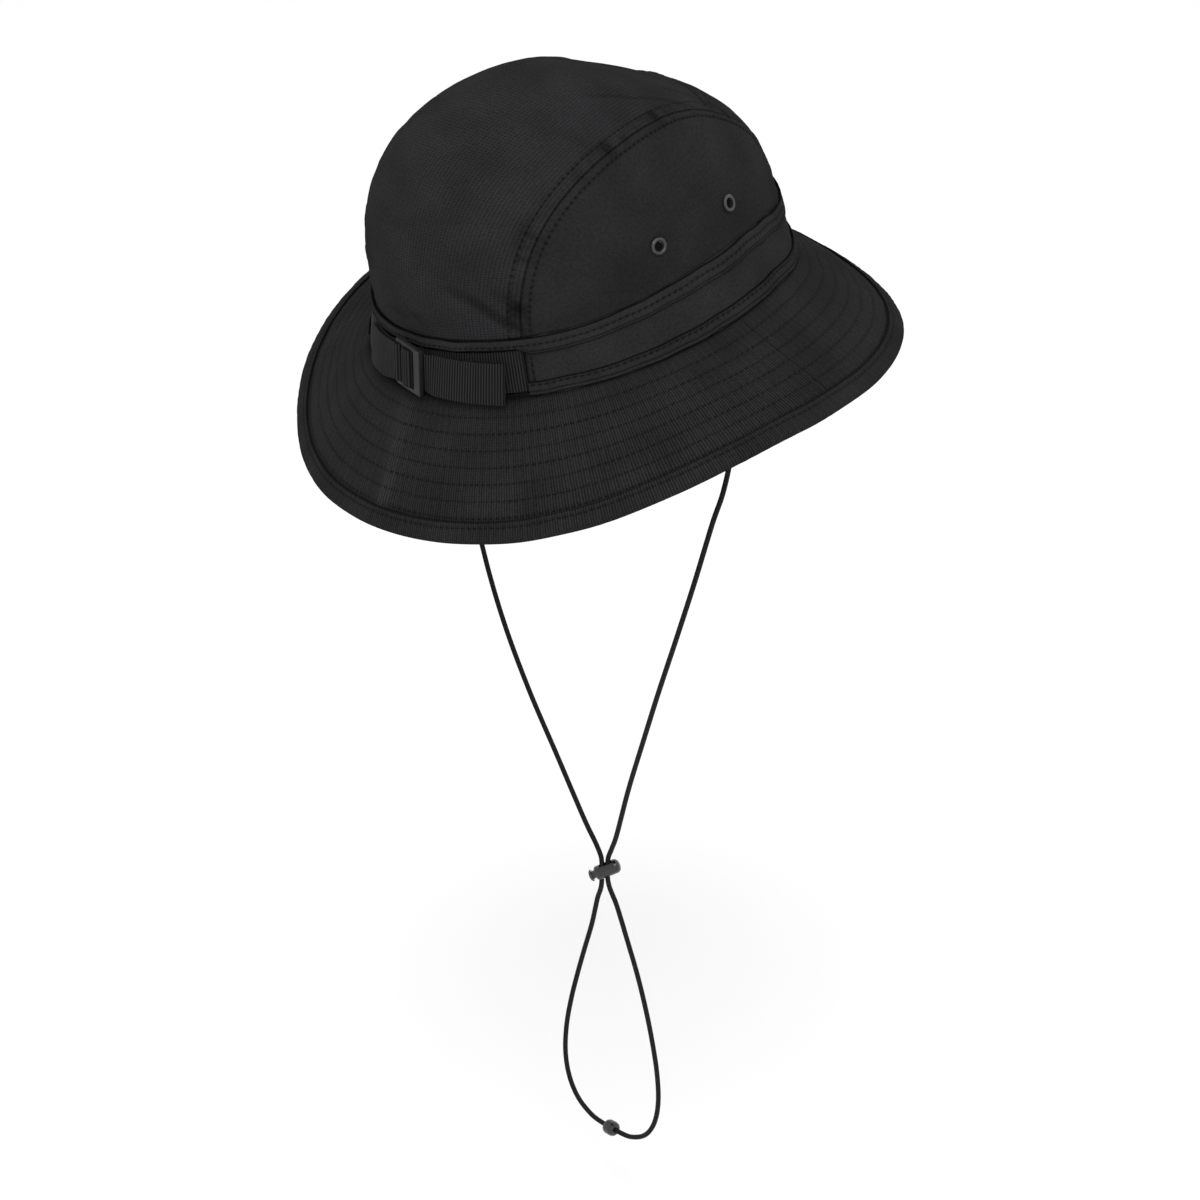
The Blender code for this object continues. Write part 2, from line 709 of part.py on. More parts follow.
def ribbon(stations, width, thickness):
    """Webbing swept through stations, each a middle point and the direction up its width."""
    sections = []
    last = len(stations) - 1
    for number, (point, up) in enumerate(stations):
        before = stations[max(number - 1, 0)][0]
        after = stations[min(number + 1, last)][0]
        inward = (point - before) if number else (after - point)
        onward = (after - point) if number < last else inward
        first = up.cross(inward).normalized()
        second = up.cross(onward).normalized()
        miter = (first + second).normalized()
        side = miter * min(thickness / 2 / max(miter.dot(first), 0.5), thickness)
        edge = up * (width / 2)
        low, high = point - edge, point + edge
        sections.append([low - side, low + side, high + side, high - side])
    return sweep(sections)


def loop_stations(radius, start_deg, end_deg, steps):
    """Stations on an arc round the buckle's pivot bar."""
    stations = []
    for step in range(steps + 1):
        angle = math.radians(mix(start_deg, end_deg, step / steps))
        stations.append(buckle_station(radius * math.cos(angle), radius * math.sin(angle)))
    return stations


def build_adjuster(hat, buckle_axis):
    """The sewn strap, its free tail round the buckle's middle bar, and the buckle's short loop."""
    half = WEBBING_THICKNESS / 2
    under = -half
    clear = GAP + half
    wrap = BUCKLE_THICKNESS / 2 + clear

    steps = 9
    strap = []
    for n in range(steps + 1):
        phi_deg = mix(STRAP_START_DEG, STRAP_UNDER_TAIL_DEG, n / steps)
        strap.append(ring_station(phi_deg, under, mix(*STRAP_LIFT[::-1], n / steps)))
    strap.append(buckle_station(8.4, -wrap - 1.2))
    points, faces = ribbon(strap, WEBBING_WIDTH, WEBBING_THICKNESS)
    add_object("adjuster_strap", mesh_from("adjuster_strap", points, faces), WEBBING, hat)

    left = BUCKLE_BARS[1][0] - clear
    right = BUCKLE_BARS[1][1] + clear
    tail_route = (
        (7.2, -wrap - 1.0), (left + 1.5, -wrap - 0.7), (left + 0.4, -wrap), (left, -wrap + 0.9),
        (left, wrap - 0.8), (left + 0.3, wrap - 0.25), (left + 0.9, wrap), (right - 0.9, wrap),
        (right - 0.3, wrap - 0.25), (right, wrap - 0.8), (right + 0.15, -wrap + 1.1),
        (right + 0.7, -wrap + 0.15), (right + 1.8, -wrap - 0.05), (BUCKLE_BARS[2][1] + 0.6, -wrap - 0.1),
    )
    tail = [buckle_station(*place) for place in tail_route]
    for n in range(8):
        phi_deg = mix(TAIL_REJOIN_DEG, STRAP_TAIL_DEG, n / 7)
        out, lift, roll_deg = (mix(*span, n / 7) for span in (TAIL_OUT, TAIL_LIFT, TAIL_ROLL_DEG))
        tail.append(ring_station(phi_deg, out, lift, roll_deg))
    points, faces = ribbon(tail, WEBBING_WIDTH, WEBBING_THICKNESS)
    mesh = mesh_from("adjuster_strap_tail", points, faces, BUCKLE_PIVOT)
    add_object("adjuster_strap_tail", mesh, WEBBING, buckle_axis)

    loop_radius = BUCKLE_BARS[0][1] + clear + 0.2
    loop = []
    for n in range(6):
        phi_deg = mix(-STRAP_START_DEG, -8.5, n / 5)
        out, lift = under + LOOP_STANDS_OFF * (n / 5) ** 2, mix(*LOOP_LIFT, n / 5)
        loop.append(ring_station(phi_deg, out, lift, BUCKLE_ROLL_DEG * n / 5))
    loop += loop_stations(loop_radius, -118.0, 118.0, 10)
    for n in range(4):
        phi_deg = mix(-8.2, LOOP_END_DEG, n / 3)
        out, lift = mix(*LOOP_RETURN_OUT, n / 3), mix(*LOOP_LIFT[::-1], n / 3)
        loop.append(ring_station(phi_deg, out, lift, BUCKLE_ROLL_DEG * (1.0 - n / 3)))
    points, faces = ribbon(loop, WEBBING_WIDTH, WEBBING_THICKNESS)
    add_object("buckle_loop", mesh_from("buckle_loop", points, faces), WEBBING, hat)
    build_buckle(buckle_axis)


def build_buckle(buckle_axis):
    """A flat ladder buckle: a plate with two slots between three bars."""
    across, _, outwards = buckle_directions()
    left = BUCKLE_BARS[0][0]
    right = BUCKLE_BARS[2][1]
    middle = buckle_place((left + right) / 2, 0.0)
    frame = facing(middle, outwards, across)
    size = (right - left, BUCKLE_HEIGHT, BUCKLE_THICKNESS)
    points, faces = box_points(size, frame)
    mesh = mesh_from("adjuster_buckle", points, faces, BUCKLE_PIVOT)
    buckle = add_object("adjuster_buckle", mesh, MATT_PLASTIC, buckle_axis)
    cutters = []
    for name, first, second in (("left", BUCKLE_BARS[0], BUCKLE_BARS[1]),
                                ("right", BUCKLE_BARS[1], BUCKLE_BARS[2])):
        slot_middle = buckle_place((first[1] + second[0]) / 2, 0.0)
        slot_size = (second[0] - first[1], BUCKLE_SLOT_HEIGHT, 3 * BUCKLE_THICKNESS)
        points, faces = box_points(slot_size, facing(slot_middle, outwards, across))
        cutter_name = "buckle_slot_cutter_" + name
        cutters.append(add_cutter(cutter_name, points, faces, buckle_axis, BUCKLE_PIVOT))
    cut(buckle, cutters)
    for cutter in cutters:
        cutter.location = (0.0, 0.0, 0.0)
    bevel = buckle.modifiers.new("soft_edges", "BEVEL")
    bevel.width = 0.45 * MM
    bevel.segments = 2
    buckle.data.shade_smooth()


# ---------------------------------------------------------------- chin cord

def smooth_route(places, step):
    """Points every `step` or so along one smooth curve through the places."""
    places = [Vector(place) for place in places]
    ends = [places[0] * 2 - places[1], *places, places[-1] * 2 - places[-2]]
    fine = []
    for n in range(len(places) - 1):
        before, here, there, after = ends[n:n + 4]
        for share in (k / 16 for k in range(16)):
            fine.append(0.5 * (2 * here + (there - before) * share
                               + (2 * before - 5 * here + 4 * there - after) * share ** 2
                               + (3 * here - before - 3 * there + after) * share ** 3))
    fine.append(places[-1])
    length = sum((b - a).length for a, b in zip(fine, fine[1:]))
    count = max(2, round(length / step))
    route = [fine[0]]
    travelled = 0.0
    for a, b in zip(fine, fine[1:]):
        span = (b - a).length
        while len(route) < count and travelled + span >= len(route) * length / count:
            share = (len(route) * length / count - travelled) / span
            route.append(a.lerp(b, share))
        travelled += span
    route.append(fine[-1])
    return route


def add_cord(name, route, parent, origin):
    curve = bpy.data.curves.new(name, "CURVE")
    curve.dimensions = "3D"
    curve.bevel_depth = CORD_RADIUS * MM
    curve.bevel_resolution = 2
    curve.use_fill_caps = True
    spline = curve.splines.new("POLY")
    spline.points.add(len(route) - 1)
    for point, place in zip(spline.points, route):
        point.co = (*((place - Vector(origin)) * MM), 1.0)
    return add_object(name, curve, BRAIDED_CORD, parent)


def one_side(route, sign):
    """The left (+1) or right (-1) run of the cord, turned a little to enter the lock side by side."""
    places = []
    for x, y, z in route:
        beyond = max(0.0, abs(z - LOCK_CENTRE[2]) - CORD_STRAIGHT)
        twist = max(0.0, 1.0 - beyond / CORD_TWIST_REACH) * CORD_TWIST
        places.append((sign * x, y + sign * twist, z))
    return places


def build_anchors(hat):
    for name, sign in (("right", 1.0), ("left", -1.0)):
        phi = math.radians(ANCHOR_DEG * sign)
        middle = band_point(phi, (ANCHOR_BOTTOM + ANCHOR_SIZE[2] / 2) / side_rise(phi), ANCHOR_OUT)
        frame = facing(middle, band_up(phi), band_up(phi).cross(band_normal(phi)))
        points, faces = box_points(ANCHOR_SIZE, frame)
        tab = add_object("cord_anchor_" + name, mesh_from("tab", points, faces), WEBBING, hat)
        bevel = tab.modifiers.new("soft_edges", "BEVEL")
        bevel.width = 0.8 * MM
        bevel.segments = 2


def build_cord(swing_axis, swing_origin):
    for name, sign in (("chin_cord_left", 1.0), ("chin_cord_right", -1.0)):
        route = smooth_route(one_side(STRAND_ROUTE, sign), CORD_POINT_STEP)
        add_cord(name, route, swing_axis, swing_origin)
    loop = one_side(LOOP_ROUTE, 1.0) + one_side(LOOP_ROUTE[:-1], -1.0)[::-1]
    add_cord("chin_cord_loop", smooth_route(loop, CORD_POINT_STEP), swing_axis, swing_origin)
    frame = facing(BEAD_CENTRE, (1.0, 0.0, 0.0), (0.0, 0.0, 1.0))
    half = BEAD_LENGTH / 2
    profile = [(BEAD_HOLE_RADIUS, -half), (2.4, -half), (3.3, -half + 0.8), (BEAD_RADIUS, -half + 2.0),
               (BEAD_RADIUS, half - 2.0), (3.3, half - 0.8), (2.4, half), (BEAD_HOLE_RADIUS, half)]
    points, faces = turned(profile, 24, frame)
    mesh = mesh_from("cord_end_bead", points, faces, swing_origin)
    add_object("cord_end_bead", mesh, GLOSSY_PLASTIC, swing_axis)


def lock_frame():
    """The lock's frame: Z along the barrel, from the plunger's end to the closed end."""
    turn = math.radians(LOCK_TURN_DEG)
    tilt = math.radians(LOCK_TILT_DEG)
    level = Vector((math.cos(turn), math.sin(turn), 0.0))
    barrel = level * math.cos(tilt) + Vector((0.0, 0.0, math.sin(tilt)))
    return facing(LOCK_CENTRE, barrel, (0.0, 0.0, 1.0)), level


def build_lock(lock_axis):
    frame, level = lock_frame()
    start, end = LOCK_ENDS
    body_profile = [
        (LOCK_BORE_RADIUS, start), (2.9, start), (LOCK_RADIUS, start + 0.7), (LOCK_RADIUS, end - 2.2),
        (3.15, end - 1.2), (2.3, end - 0.4), (1.2, end - 0.05), (0.3, end), (0.3, LOCK_BORE_END),
        (LOCK_BORE_RADIUS, LOCK_BORE_END),
    ]
    points, faces = turned(body_profile, 24, frame)
    mesh = mesh_from("cord_lock_body", points, faces, LOCK_CENTRE)
    body = add_object("cord_lock_body", mesh, GLOSSY_PLASTIC, lock_axis)
    slot_frame = facing(LOCK_CENTRE, (0.0, 0.0, 1.0), level)
    points, faces = box_points((LOCK_SLOT[0], LOCK_SLOT[1], 16.0), slot_frame)
    body_cutter = add_cutter("lock_slot_cutter", points, faces, lock_axis, LOCK_CENTRE)
    body_cutter.location = (0.0, 0.0, 0.0)
    cut(body, [body_cutter])

    stem_profile = [(1.2, PLUNGER_HEAD[0]), (2.3, PLUNGER_HEAD[0] + 0.35), (2.9, PLUNGER_HEAD[0] + 1.0),
                    (2.9, PLUNGER_HEAD[1]), (PLUNGER_RADIUS, PLUNGER_HEAD[1]),
                    (PLUNGER_RADIUS, PLUNGER_STEM_END)]
    points, faces = lathed(stem_profile, 24, frame)
    mesh = mesh_from("cord_lock_plunger", points, faces, LOCK_CENTRE)
    plunger = add_object("cord_lock_plunger", mesh, GLOSSY_PLASTIC, lock_axis)
    slot_shift = Vector(LOCK_CENTRE) - level * PLUNGER_TRAVEL / 2
    slot_frame = facing(slot_shift, (0.0, 0.0, 1.0), level)
    slot_size = (LOCK_SLOT[0] + PLUNGER_TRAVEL, LOCK_SLOT[1], 16.0)
    points, faces = box_points(slot_size, slot_frame)
    plunger_cutter = add_cutter("plunger_slot_cutter", points, faces, lock_axis, LOCK_CENTRE)
    plunger_cutter.location = (0.0, 0.0, 0.0)
    cut(plunger, [plunger_cutter])
    build_spring(frame, lock_axis)


def build_spring(frame, lock_axis):
    """The small spring between the plunger's stem and the end of the bore."""
    per_turn = 12
    sections = []
    wire = SPRING_WIRE_RADIUS
    low = SPRING_SPAN[0] + wire
    high = SPRING_SPAN[1] - wire
    for step in range(SPRING_TURNS * per_turn + 1):
        angle = 2 * math.pi * step / per_turn
        height = mix(low, high, step / (SPRING_TURNS * per_turn))
        ring = []
        for corner in range(6):
            turn = math.pi * corner / 3
            radius = SPRING_RADIUS + wire * math.cos(turn)
            rise = height + wire * math.sin(turn)
            ring.append(frame @ Vector((radius * math.cos(angle), radius * math.sin(angle), rise)))
        sections.append(ring)
    points, faces = sweep(sections)
    mesh = mesh_from("cord_lock_spring", points, faces, LOCK_CENTRE)
    add_object("cord_lock_spring", mesh, DARK_METAL, lock_axis)


# ---------------------------------------------------------------- the whole hat

def build():
    clear_scene()
    hat = make_empty("hat_axis")
    hat.rotation_euler = (-math.radians(LEAN_DEG), 0.0, 0.0)
    buckle_axis = make_empty("buckle_tilt_axis", BUCKLE_PIVOT, hat)
    swing_origin = (0.0, STRAND_ROUTE[0][1], STRAND_ROUTE[0][2])
    swing_axis = make_empty("cord_swing_axis", swing_origin)
    lock_axis = make_empty("lock_slide_axis", LOCK_CENTRE)
    build_crown(hat)
    build_band(hat)
    build_brim(hat)
    build_adjuster(hat, buckle_axis)
    build_anchors(hat)
    build_cord(swing_axis, swing_origin)
    build_lock(lock_axis)


build()
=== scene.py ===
import math

import bpy
import numpy as np
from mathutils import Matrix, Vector


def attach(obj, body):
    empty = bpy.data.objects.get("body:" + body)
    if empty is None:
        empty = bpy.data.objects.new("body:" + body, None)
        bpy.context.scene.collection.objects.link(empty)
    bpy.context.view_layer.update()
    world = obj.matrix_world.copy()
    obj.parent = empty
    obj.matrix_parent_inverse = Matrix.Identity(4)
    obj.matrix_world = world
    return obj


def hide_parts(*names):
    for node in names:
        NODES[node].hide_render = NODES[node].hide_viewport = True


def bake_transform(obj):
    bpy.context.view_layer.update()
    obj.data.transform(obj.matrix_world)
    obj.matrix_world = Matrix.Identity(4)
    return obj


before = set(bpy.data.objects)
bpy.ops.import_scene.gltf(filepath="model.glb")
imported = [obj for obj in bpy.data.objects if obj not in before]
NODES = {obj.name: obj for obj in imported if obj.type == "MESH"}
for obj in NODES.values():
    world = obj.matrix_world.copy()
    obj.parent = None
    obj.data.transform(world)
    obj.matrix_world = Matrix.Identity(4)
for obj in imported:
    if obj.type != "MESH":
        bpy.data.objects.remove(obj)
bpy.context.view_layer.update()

# Lengths are millimetres on the hat's own axis, which leans back, until to_world() turns them into
# row-frame metres. "phi" runs round the hat from the middle of the back towards the wearer's right.
MM = 0.001
LEAN = math.radians(14.4)

HALF_LENGTH = 104.0
HALF_WIDTH = 87.4
BAND_HEIGHT = 24.2
BAND_TAPER = 6.6
BAND_SLOPE = BAND_TAPER / BAND_HEIGHT
BAND_END_DEG = 38.4
BAND_END_RADIUS = 95.0
BAND_END_ROW = 2.6
WELT_THICKNESS = 0.95
SWEATBAND_ROWS = (3.0, 27.5)
SWEATBAND_IN = -3.85
SIDE_RISE = 0.18
SIDE_SPAN_DEG = (50.0, 95.0)
FRONT_DIP = 11.0
FRONT_TUCK = 4.0
FRONT_SPAN_DEG = (105.0, 150.0)
GAP = 0.3

CROWN_HEIGHT = 82.0
CROWN_LEAN = 6.9
CROWN_SQUARENESS = (1.95, 0.95)
CROWN_ROUNDNESS = (2.26, -0.155)
SEAM_HALF_WIDTH = 0.487
SEAM_FLARE = 0.134
SEAM_NARROWING = 0.057
CROSS_SEAM_Y = -0.52
CROSS_SEAM_BOW = 0.13
CROSS_SEAM_LAP = 0.0004
SEAM_GAP = 0.0008
ROWS_FROM_SEAM = {"middle": 5.4, "side": 3.8}
EYELETS = {"rear": (0.855, 0.141), "front": (0.8465, -0.2575)}
EYELET_HOLE = 2.75
CROWN_THICKNESS = 1.0
CROWN_SINK = 0.15

BRIM_WIDTH = (61.5, 0.6)
BRIM_DROOP_DEG = (40.6, 0.2, 14.7, 0.2, -1.2, -1.1)
BRIM_WAVE_DEG = (4.3, -4.2, 2.1, 0.8, 0.5)
BRIM_SIDE_SEAM_DEG = 96.0
BRIM_LAYER_MARGIN = 1.1
BRIM_ROW_STEP = 7.17
BRIM_ROWS = [8.2 + BRIM_ROW_STEP * k for k in range(7)]
BINDING_WIDTH = 9.0
HEM_ROW = 6.6

WEBBING_WIDTH = 18.0
WEBBING_THICKNESS = 1.2
RIB_PITCH = 1.25
STRAP_LIFT = (10.2, 10.6)
TAIL_LIFT = (9.2, 6.4)
TAIL_OUT = (3.0, 4.0)
TAIL_ROLL_DEG = (7.0, 8.0)
LOOP_LIFT = (9.4, 10.5)
LOOP_STANDS_OFF = 2.3
LOOP_RETURN_OUT = (3.7, 1.6)
BUCKLE_LIFT = 12.0
BUCKLE_FACING_DEG = -3.6
BUCKLE_ROLL_DEG = 8.3
BUCKLE_DIP = 0.15
BUCKLE_PIVOT_DEG = -1.6
BUCKLE_PIVOT_OUT = 3.4
BUCKLE_BARS = ((-1.1, 1.1), (5.1, 7.9), (10.9, 15.3))
BUCKLE_THICKNESS = 2.4

CORD_RADIUS = 1.2
CORD_TWIST = 1.05
CORD_TWIST_REACH = 20.0
CORD_STRAIGHT = 5.0
CORD_POINT_STEP = 1.55
CORD_SIDES = 14
LOCK_Z = -293.95
STRAND_ROUTE = (
    (81.2, -11.6, 2.0), (81.6, -11.5, -6.0), (83.6, -10.6, -20.0), (86.5, -8.8, -38.0),
    (88.4, -6.0, -58.0), (87.6, -2.4, -75.0), (84.5, 1.0, -90.0), (76.6, 4.2, -120.0),
    (66.0, 5.0, -150.0), (53.6, 4.0, -180.0), (40.0, 0.9, -210.0), (25.4, -3.6, -240.0),
    (11.6, -8.6, -270.0), (5.2, -10.6, -280.5), (1.7, -11.3, -286.5), (0.9, -11.4, -290.0),
    (0.9, -11.4, -293.8),
)
LOOP_ROUTE = (
    (0.9, -11.4, -294.1), (0.9, -11.4, -298.2), (1.9, -11.8, -302.5), (3.7, -12.4, -306.2),
    (6.8, -13.1, -312.0),
    (12.8, -14.6, -328.0), (19.0, -15.4, -344.0), (24.6, -15.7, -360.0), (29.4, -15.7, -376.0),
    (32.9, -15.7, -392.0), (33.8, -15.7, -407.0), (31.0, -15.7, -419.5), (24.5, -15.7, -428.8),
    (14.5, -15.7, -434.2), (5.0, -15.7, -435.4), (0.0, -15.7, -435.4),
)


# ---------------------------------------------------------------- small helpers

def unit(vectors):
    return vectors / np.maximum(np.linalg.norm(vectors, axis=-1, keepdims=True), 1e-12)


def mix(a, b, share):
    return a + (b - a) * share


def smooth_step(low, high, value):
    share = np.clip((value - low) / (high - low), 0.0, 1.0)
    return share * share * (3.0 - 2.0 * share)


def to_world(points):
    """From the hat's own axis, in millimetres, to the row frame, in metres."""
    x, y, z = points[..., 0], points[..., 1], points[..., 2]
    c, s = math.cos(LEAN), math.sin(LEAN)
    return np.stack([x, c * y + s * z, c * z - s * y], -1) * MM


def noise(u, v, seed, wrap=64):
    """Smooth random hills about -1 to 1 high, one to each unit square; u repeats after `wrap`."""
    grid = np.random.RandomState(seed).uniform(-1.0, 1.0, (64, 64))
    iu, iv = np.floor(u).astype(int), np.floor(v).astype(int)
    fu, fv = u - iu, v - iv
    fu, fv = fu * fu * (3 - 2 * fu), fv * fv * (3 - 2 * fv)

    def corner(a, b):
        return grid[(iu + a) % wrap, (iv + b) % 64]
    low = mix(corner(0, 0), corner(1, 0), fu)
    high = mix(corner(0, 1), corner(1, 1), fu)
    return mix(low, high, fv)


def arc_length(points):
    steps = np.linalg.norm(np.diff(points, axis=0), axis=1)
    return np.concatenate([[0.0], np.cumsum(steps)])


def sampled(wanted, along, values):
    """The values, a row of three for each place along, at the wanted places."""
    return np.stack([np.interp(wanted, along, values[:, k]) for k in range(3)], -1)


def spline_ends(places):
    """The places, with one more beyond each end to run a smooth curve through them all."""
    return np.concatenate([[places[0] * 2 - places[1]], places, [places[-1] * 2 - places[-2]]])


def near_line(points, line):
    """For each point, how far it is from a finely stepped line, and how far along the line that is."""
    flat = points.reshape(-1, 3)
    along = arc_length(line)
    tangent = unit(np.gradient(line, axis=0))
    gap = np.empty(len(flat))
    place = np.empty(len(flat))
    squares = (line ** 2).sum(1)
    for first in range(0, len(flat), 8000):
        part = flat[first:first + 8000]
        nearest = (squares - 2.0 * part @ line.T).argmin(1)
        offset = part - line[nearest]
        on = (offset * tangent[nearest]).sum(1)
        gap[first:first + 8000] = np.sqrt(np.maximum((offset ** 2).sum(1) - on ** 2, 0.0))
        place[first:first + 8000] = along[nearest] + on
    return gap.reshape(points.shape[:-1]), place.reshape(points.shape[:-1])


# ---------------------------------------------------------------- camera

def add_camera():
    data = bpy.data.cameras.new("photo_camera")
    data.sensor_width = 36.0
    data.lens = 116.57
    data.clip_start = 0.01
    data.clip_end = 60.0
    camera = bpy.data.objects.new("photo_camera", data)
    camera.location = (-1.23507, 1.08643, 0.52726)
    camera.rotation_euler = (math.radians(67.553), 0.0, math.radians(228.445))
    bpy.context.scene.collection.objects.link(camera)
    bpy.context.scene.camera = camera


add_camera()


# ---------------------------------------------------------------- meshes

def mesh_object(name, points, faces, uv, material, smooth_deg=50.0, shade=None):
    """A mesh of row-frame points in metres; faces is a list of arrays of equal-sided faces.

    uv is the cloth's own place at each point in millimetres, and shade the painted shade and highlight
    there, as a factor on the colour.
    """
    mesh = bpy.data.meshes.new(name)
    faces = [np.asarray(part, dtype=np.int32) for part in faces if len(part)]
    loops = np.concatenate([part.ravel() for part in faces])
    sizes = np.concatenate([np.full(len(part), part.shape[1]) for part in faces])
    mesh.vertices.add(len(points))
    mesh.vertices.foreach_set("co", np.asarray(points, dtype=np.float32).ravel())
    mesh.loops.add(len(loops))
    mesh.loops.foreach_set("vertex_index", loops)
    mesh.polygons.add(len(sizes))
    mesh.polygons.foreach_set("loop_start", (np.cumsum(sizes) - sizes).astype(np.int32))
    mesh.update(calc_edges=True)
    mesh.validate()
    layer = mesh.uv_layers.new(name="cloth")
    layer.data.foreach_set("uv", np.asarray(uv, dtype=np.float32)[loops].ravel())
    # The shade attribute holds painted shade and highlight, a factor on the base colour.
    painted_shade_layer = mesh.attributes.new("shade", "FLOAT", "POINT")
    painted_shade_layer.data.foreach_set("value", np.ones(len(points)) if shade is None else np.asarray(shade).ravel())
    mesh.shade_smooth()
    if smooth_deg < 180.0:
        mesh.set_sharp_from_angle(angle=math.radians(smooth_deg))
    mesh.materials.append(material)
    item = bpy.data.objects.new(name, mesh)
    bpy.context.scene.collection.objects.link(item)
    return item


def grid_quads(columns, rows, closed, first=0, flip=False):
    """Faces over points laid out column by column."""
    c = np.arange(columns if closed else columns - 1)[:, None]
    r = np.arange(rows - 1)[None, :]
    here = first + c * rows + r
    after = first + ((c + 1) % columns) * rows + r
    quads = np.stack([here, after, after + 1, here + 1], -1).reshape(-1, 4)
    return quads[:, ::-1] if flip else quads


def wall(outer_edge, inner_edge):
    """Faces joining a fine edge to a coarse one that has a point for every third of its own."""
    here, there = inner_edge[:-1], inner_edge[1:]
    fine = [outer_edge[k:len(outer_edge) - 3 + k:3] for k in range(4)]
    return np.stack([*fine, there, here], -1)


def shell(name, outer, inner, uv, material, closed=False, keep=None, shade=None):
    """A thin closed cloth between two grids of points, each (columns, rows, 3), in hat millimetres.

    The inner face uses every third column and row. keep says which outer squares are there.
    """
    columns, rows = outer.shape[:2]
    coarse = inner[::3, ::3]
    few_columns, few_rows = coarse.shape[:2]
    count = columns * rows
    points = to_world(np.concatenate([outer.reshape(-1, 3), coarse.reshape(-1, 3)]))
    top = grid_quads(columns, rows, closed, flip=True)
    under = grid_quads(few_columns, few_rows, closed, count)
    if keep is not None:
        top = top[keep.ravel()]
        under = under[keep[1::3, 1::3].ravel()]
    at = np.arange(count).reshape(columns, rows)
    below = count + np.arange(few_columns * few_rows).reshape(few_columns, few_rows)
    if closed:
        at, below = np.concatenate([at, at[:1]]), np.concatenate([below, below[:1]])
    walls = [wall(at[:, 0], below[:, 0]), wall(at[::-1, -1], below[::-1, -1])]
    if not closed:
        walls += [wall(at[0, ::-1], below[0, ::-1]), wall(at[-1], below[-1])]
    both = np.concatenate([uv.reshape(-1, 2), uv[::3, ::3].reshape(-1, 2)])
    if shade is not None:
        shade = np.concatenate([shade.ravel(), shade[::3, ::3].ravel()])
    faces = [top, under, np.concatenate(walls)]
    return mesh_object(name, points, faces, both, material, shade=shade)


def swept(name, sections, uv, material, closed=False, shade=None, hat_axis=True):
    """A closed solid through sections of points, (stations, corners, 3)."""
    stations, corners = sections.shape[:2]
    s = np.arange(stations if closed else stations - 1)[:, None]
    c = np.arange(corners)[None, :]
    here = s * corners + c
    after = ((s + 1) % stations) * corners + c
    here_next = s * corners + (c + 1) % corners
    after_next = ((s + 1) % stations) * corners + (c + 1) % corners
    quads = np.stack([here, here_next, after_next, after], -1).reshape(-1, 4)
    triangles = []
    points = sections.reshape(-1, 3)
    if not closed:
        middles = sections[[0, -1]].mean(1)
        points = np.concatenate([points, middles])
        uv = np.concatenate([uv.reshape(-1, 2), uv[[0, -1]].mean(1)])
        corner = np.arange(corners)
        following = (corner + 1) % corners
        start = np.full(corners, len(points) - 2)
        end = np.full(corners, len(points) - 1)
        if shade is not None:
            shade = np.concatenate([shade.ravel(), shade[[0, -1]].mean(1)])
        last = (stations - 1) * corners
        triangles = np.concatenate([np.stack([following, corner, start], -1),
                                    np.stack([last + corner, last + following, end], -1)])
    points = to_world(points) if hat_axis else points * MM
    return mesh_object(name, points, [quads, triangles], uv.reshape(-1, 2), material, shade=shade)


def worn(piece, node):
    """Stands the piece in for a CAD node that belongs to the hat."""
    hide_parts(node)
    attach(piece, "hat")


# ---------------------------------------------------------------- materials

def new_material(name):
    material = bpy.data.materials.new(name)
    material.use_nodes = True
    tree = material.node_tree
    return material, tree, tree.nodes["Principled BSDF"]


def maths(tree, operation, a, b=None):
    node = tree.nodes.new("ShaderNodeMath")
    node.operation = operation
    for socket, value in zip(node.inputs, (a, b)):
        if isinstance(value, (int, float)):
            socket.default_value = value
        elif value is not None:
            tree.links.new(value, socket)
    return node.outputs[0]


def cloth_uv(tree):
    """The cloth's own u and v, in millimetres."""
    uv_map = tree.nodes.new("ShaderNodeUVMap")
    uv_map.uv_map = "cloth"
    split = tree.nodes.new("ShaderNodeSeparateXYZ")
    tree.links.new(uv_map.outputs[0], split.inputs[0])
    return uv_map.outputs[0], split.outputs[0], split.outputs[1]


def wave(tree, coordinate, pitch, shift=0.0):
    angle = maths(tree, "MULTIPLY", coordinate, 2 * math.pi / pitch)
    return maths(tree, "SINE", maths(tree, "ADD", angle, shift))


def noise_texture(tree, vector, scale, detail=3.0):
    node = tree.nodes.new("ShaderNodeTexNoise")
    node.inputs["Scale"].default_value = scale
    node.inputs["Detail"].default_value = detail
    tree.links.new(vector, node.inputs["Vector"])
    return node.outputs["Fac"]


def spread(tree, value, from_low=0.0, from_high=1.0, to_low=0.0, to_high=1.0):
    node = tree.nodes.new("ShaderNodeMapRange")
    levels = {"From Min": from_low, "From Max": from_high, "To Min": to_low, "To Max": to_high}
    for socket, level in levels.items():
        node.inputs[socket].default_value = level
    tree.links.new(value, node.inputs["Value"])
    return node.outputs["Result"]


def scaled(tree, colour, factor):
    node = tree.nodes.new("ShaderNodeVectorMath")
    node.operation = "SCALE"
    tree.links.new(colour, node.inputs[0])
    tree.links.new(factor, node.inputs["Scale"])
    return node.outputs[0]


def shaded(tree, colour):
    """The colour times the painted shade and highlight stored at each point."""
    shade = tree.nodes.new("ShaderNodeAttribute")
    shade.attribute_name = "shade"
    return scaled(tree, colour, shade.outputs["Fac"])


def tones(tree, factor, low, high, colour, dim, light):
    """From `dim` to `light` times the colour, as factor goes from low to high."""
    node = tree.nodes.new("ShaderNodeMix")
    node.data_type = "RGBA"
    tree.links.new(spread(tree, factor, low, high), node.inputs["Factor"])
    node.inputs["A"].default_value = (*(part * dim for part in colour), 1.0)
    node.inputs["B"].default_value = (*(part * light for part in colour), 1.0)
    return node.outputs["Result"]


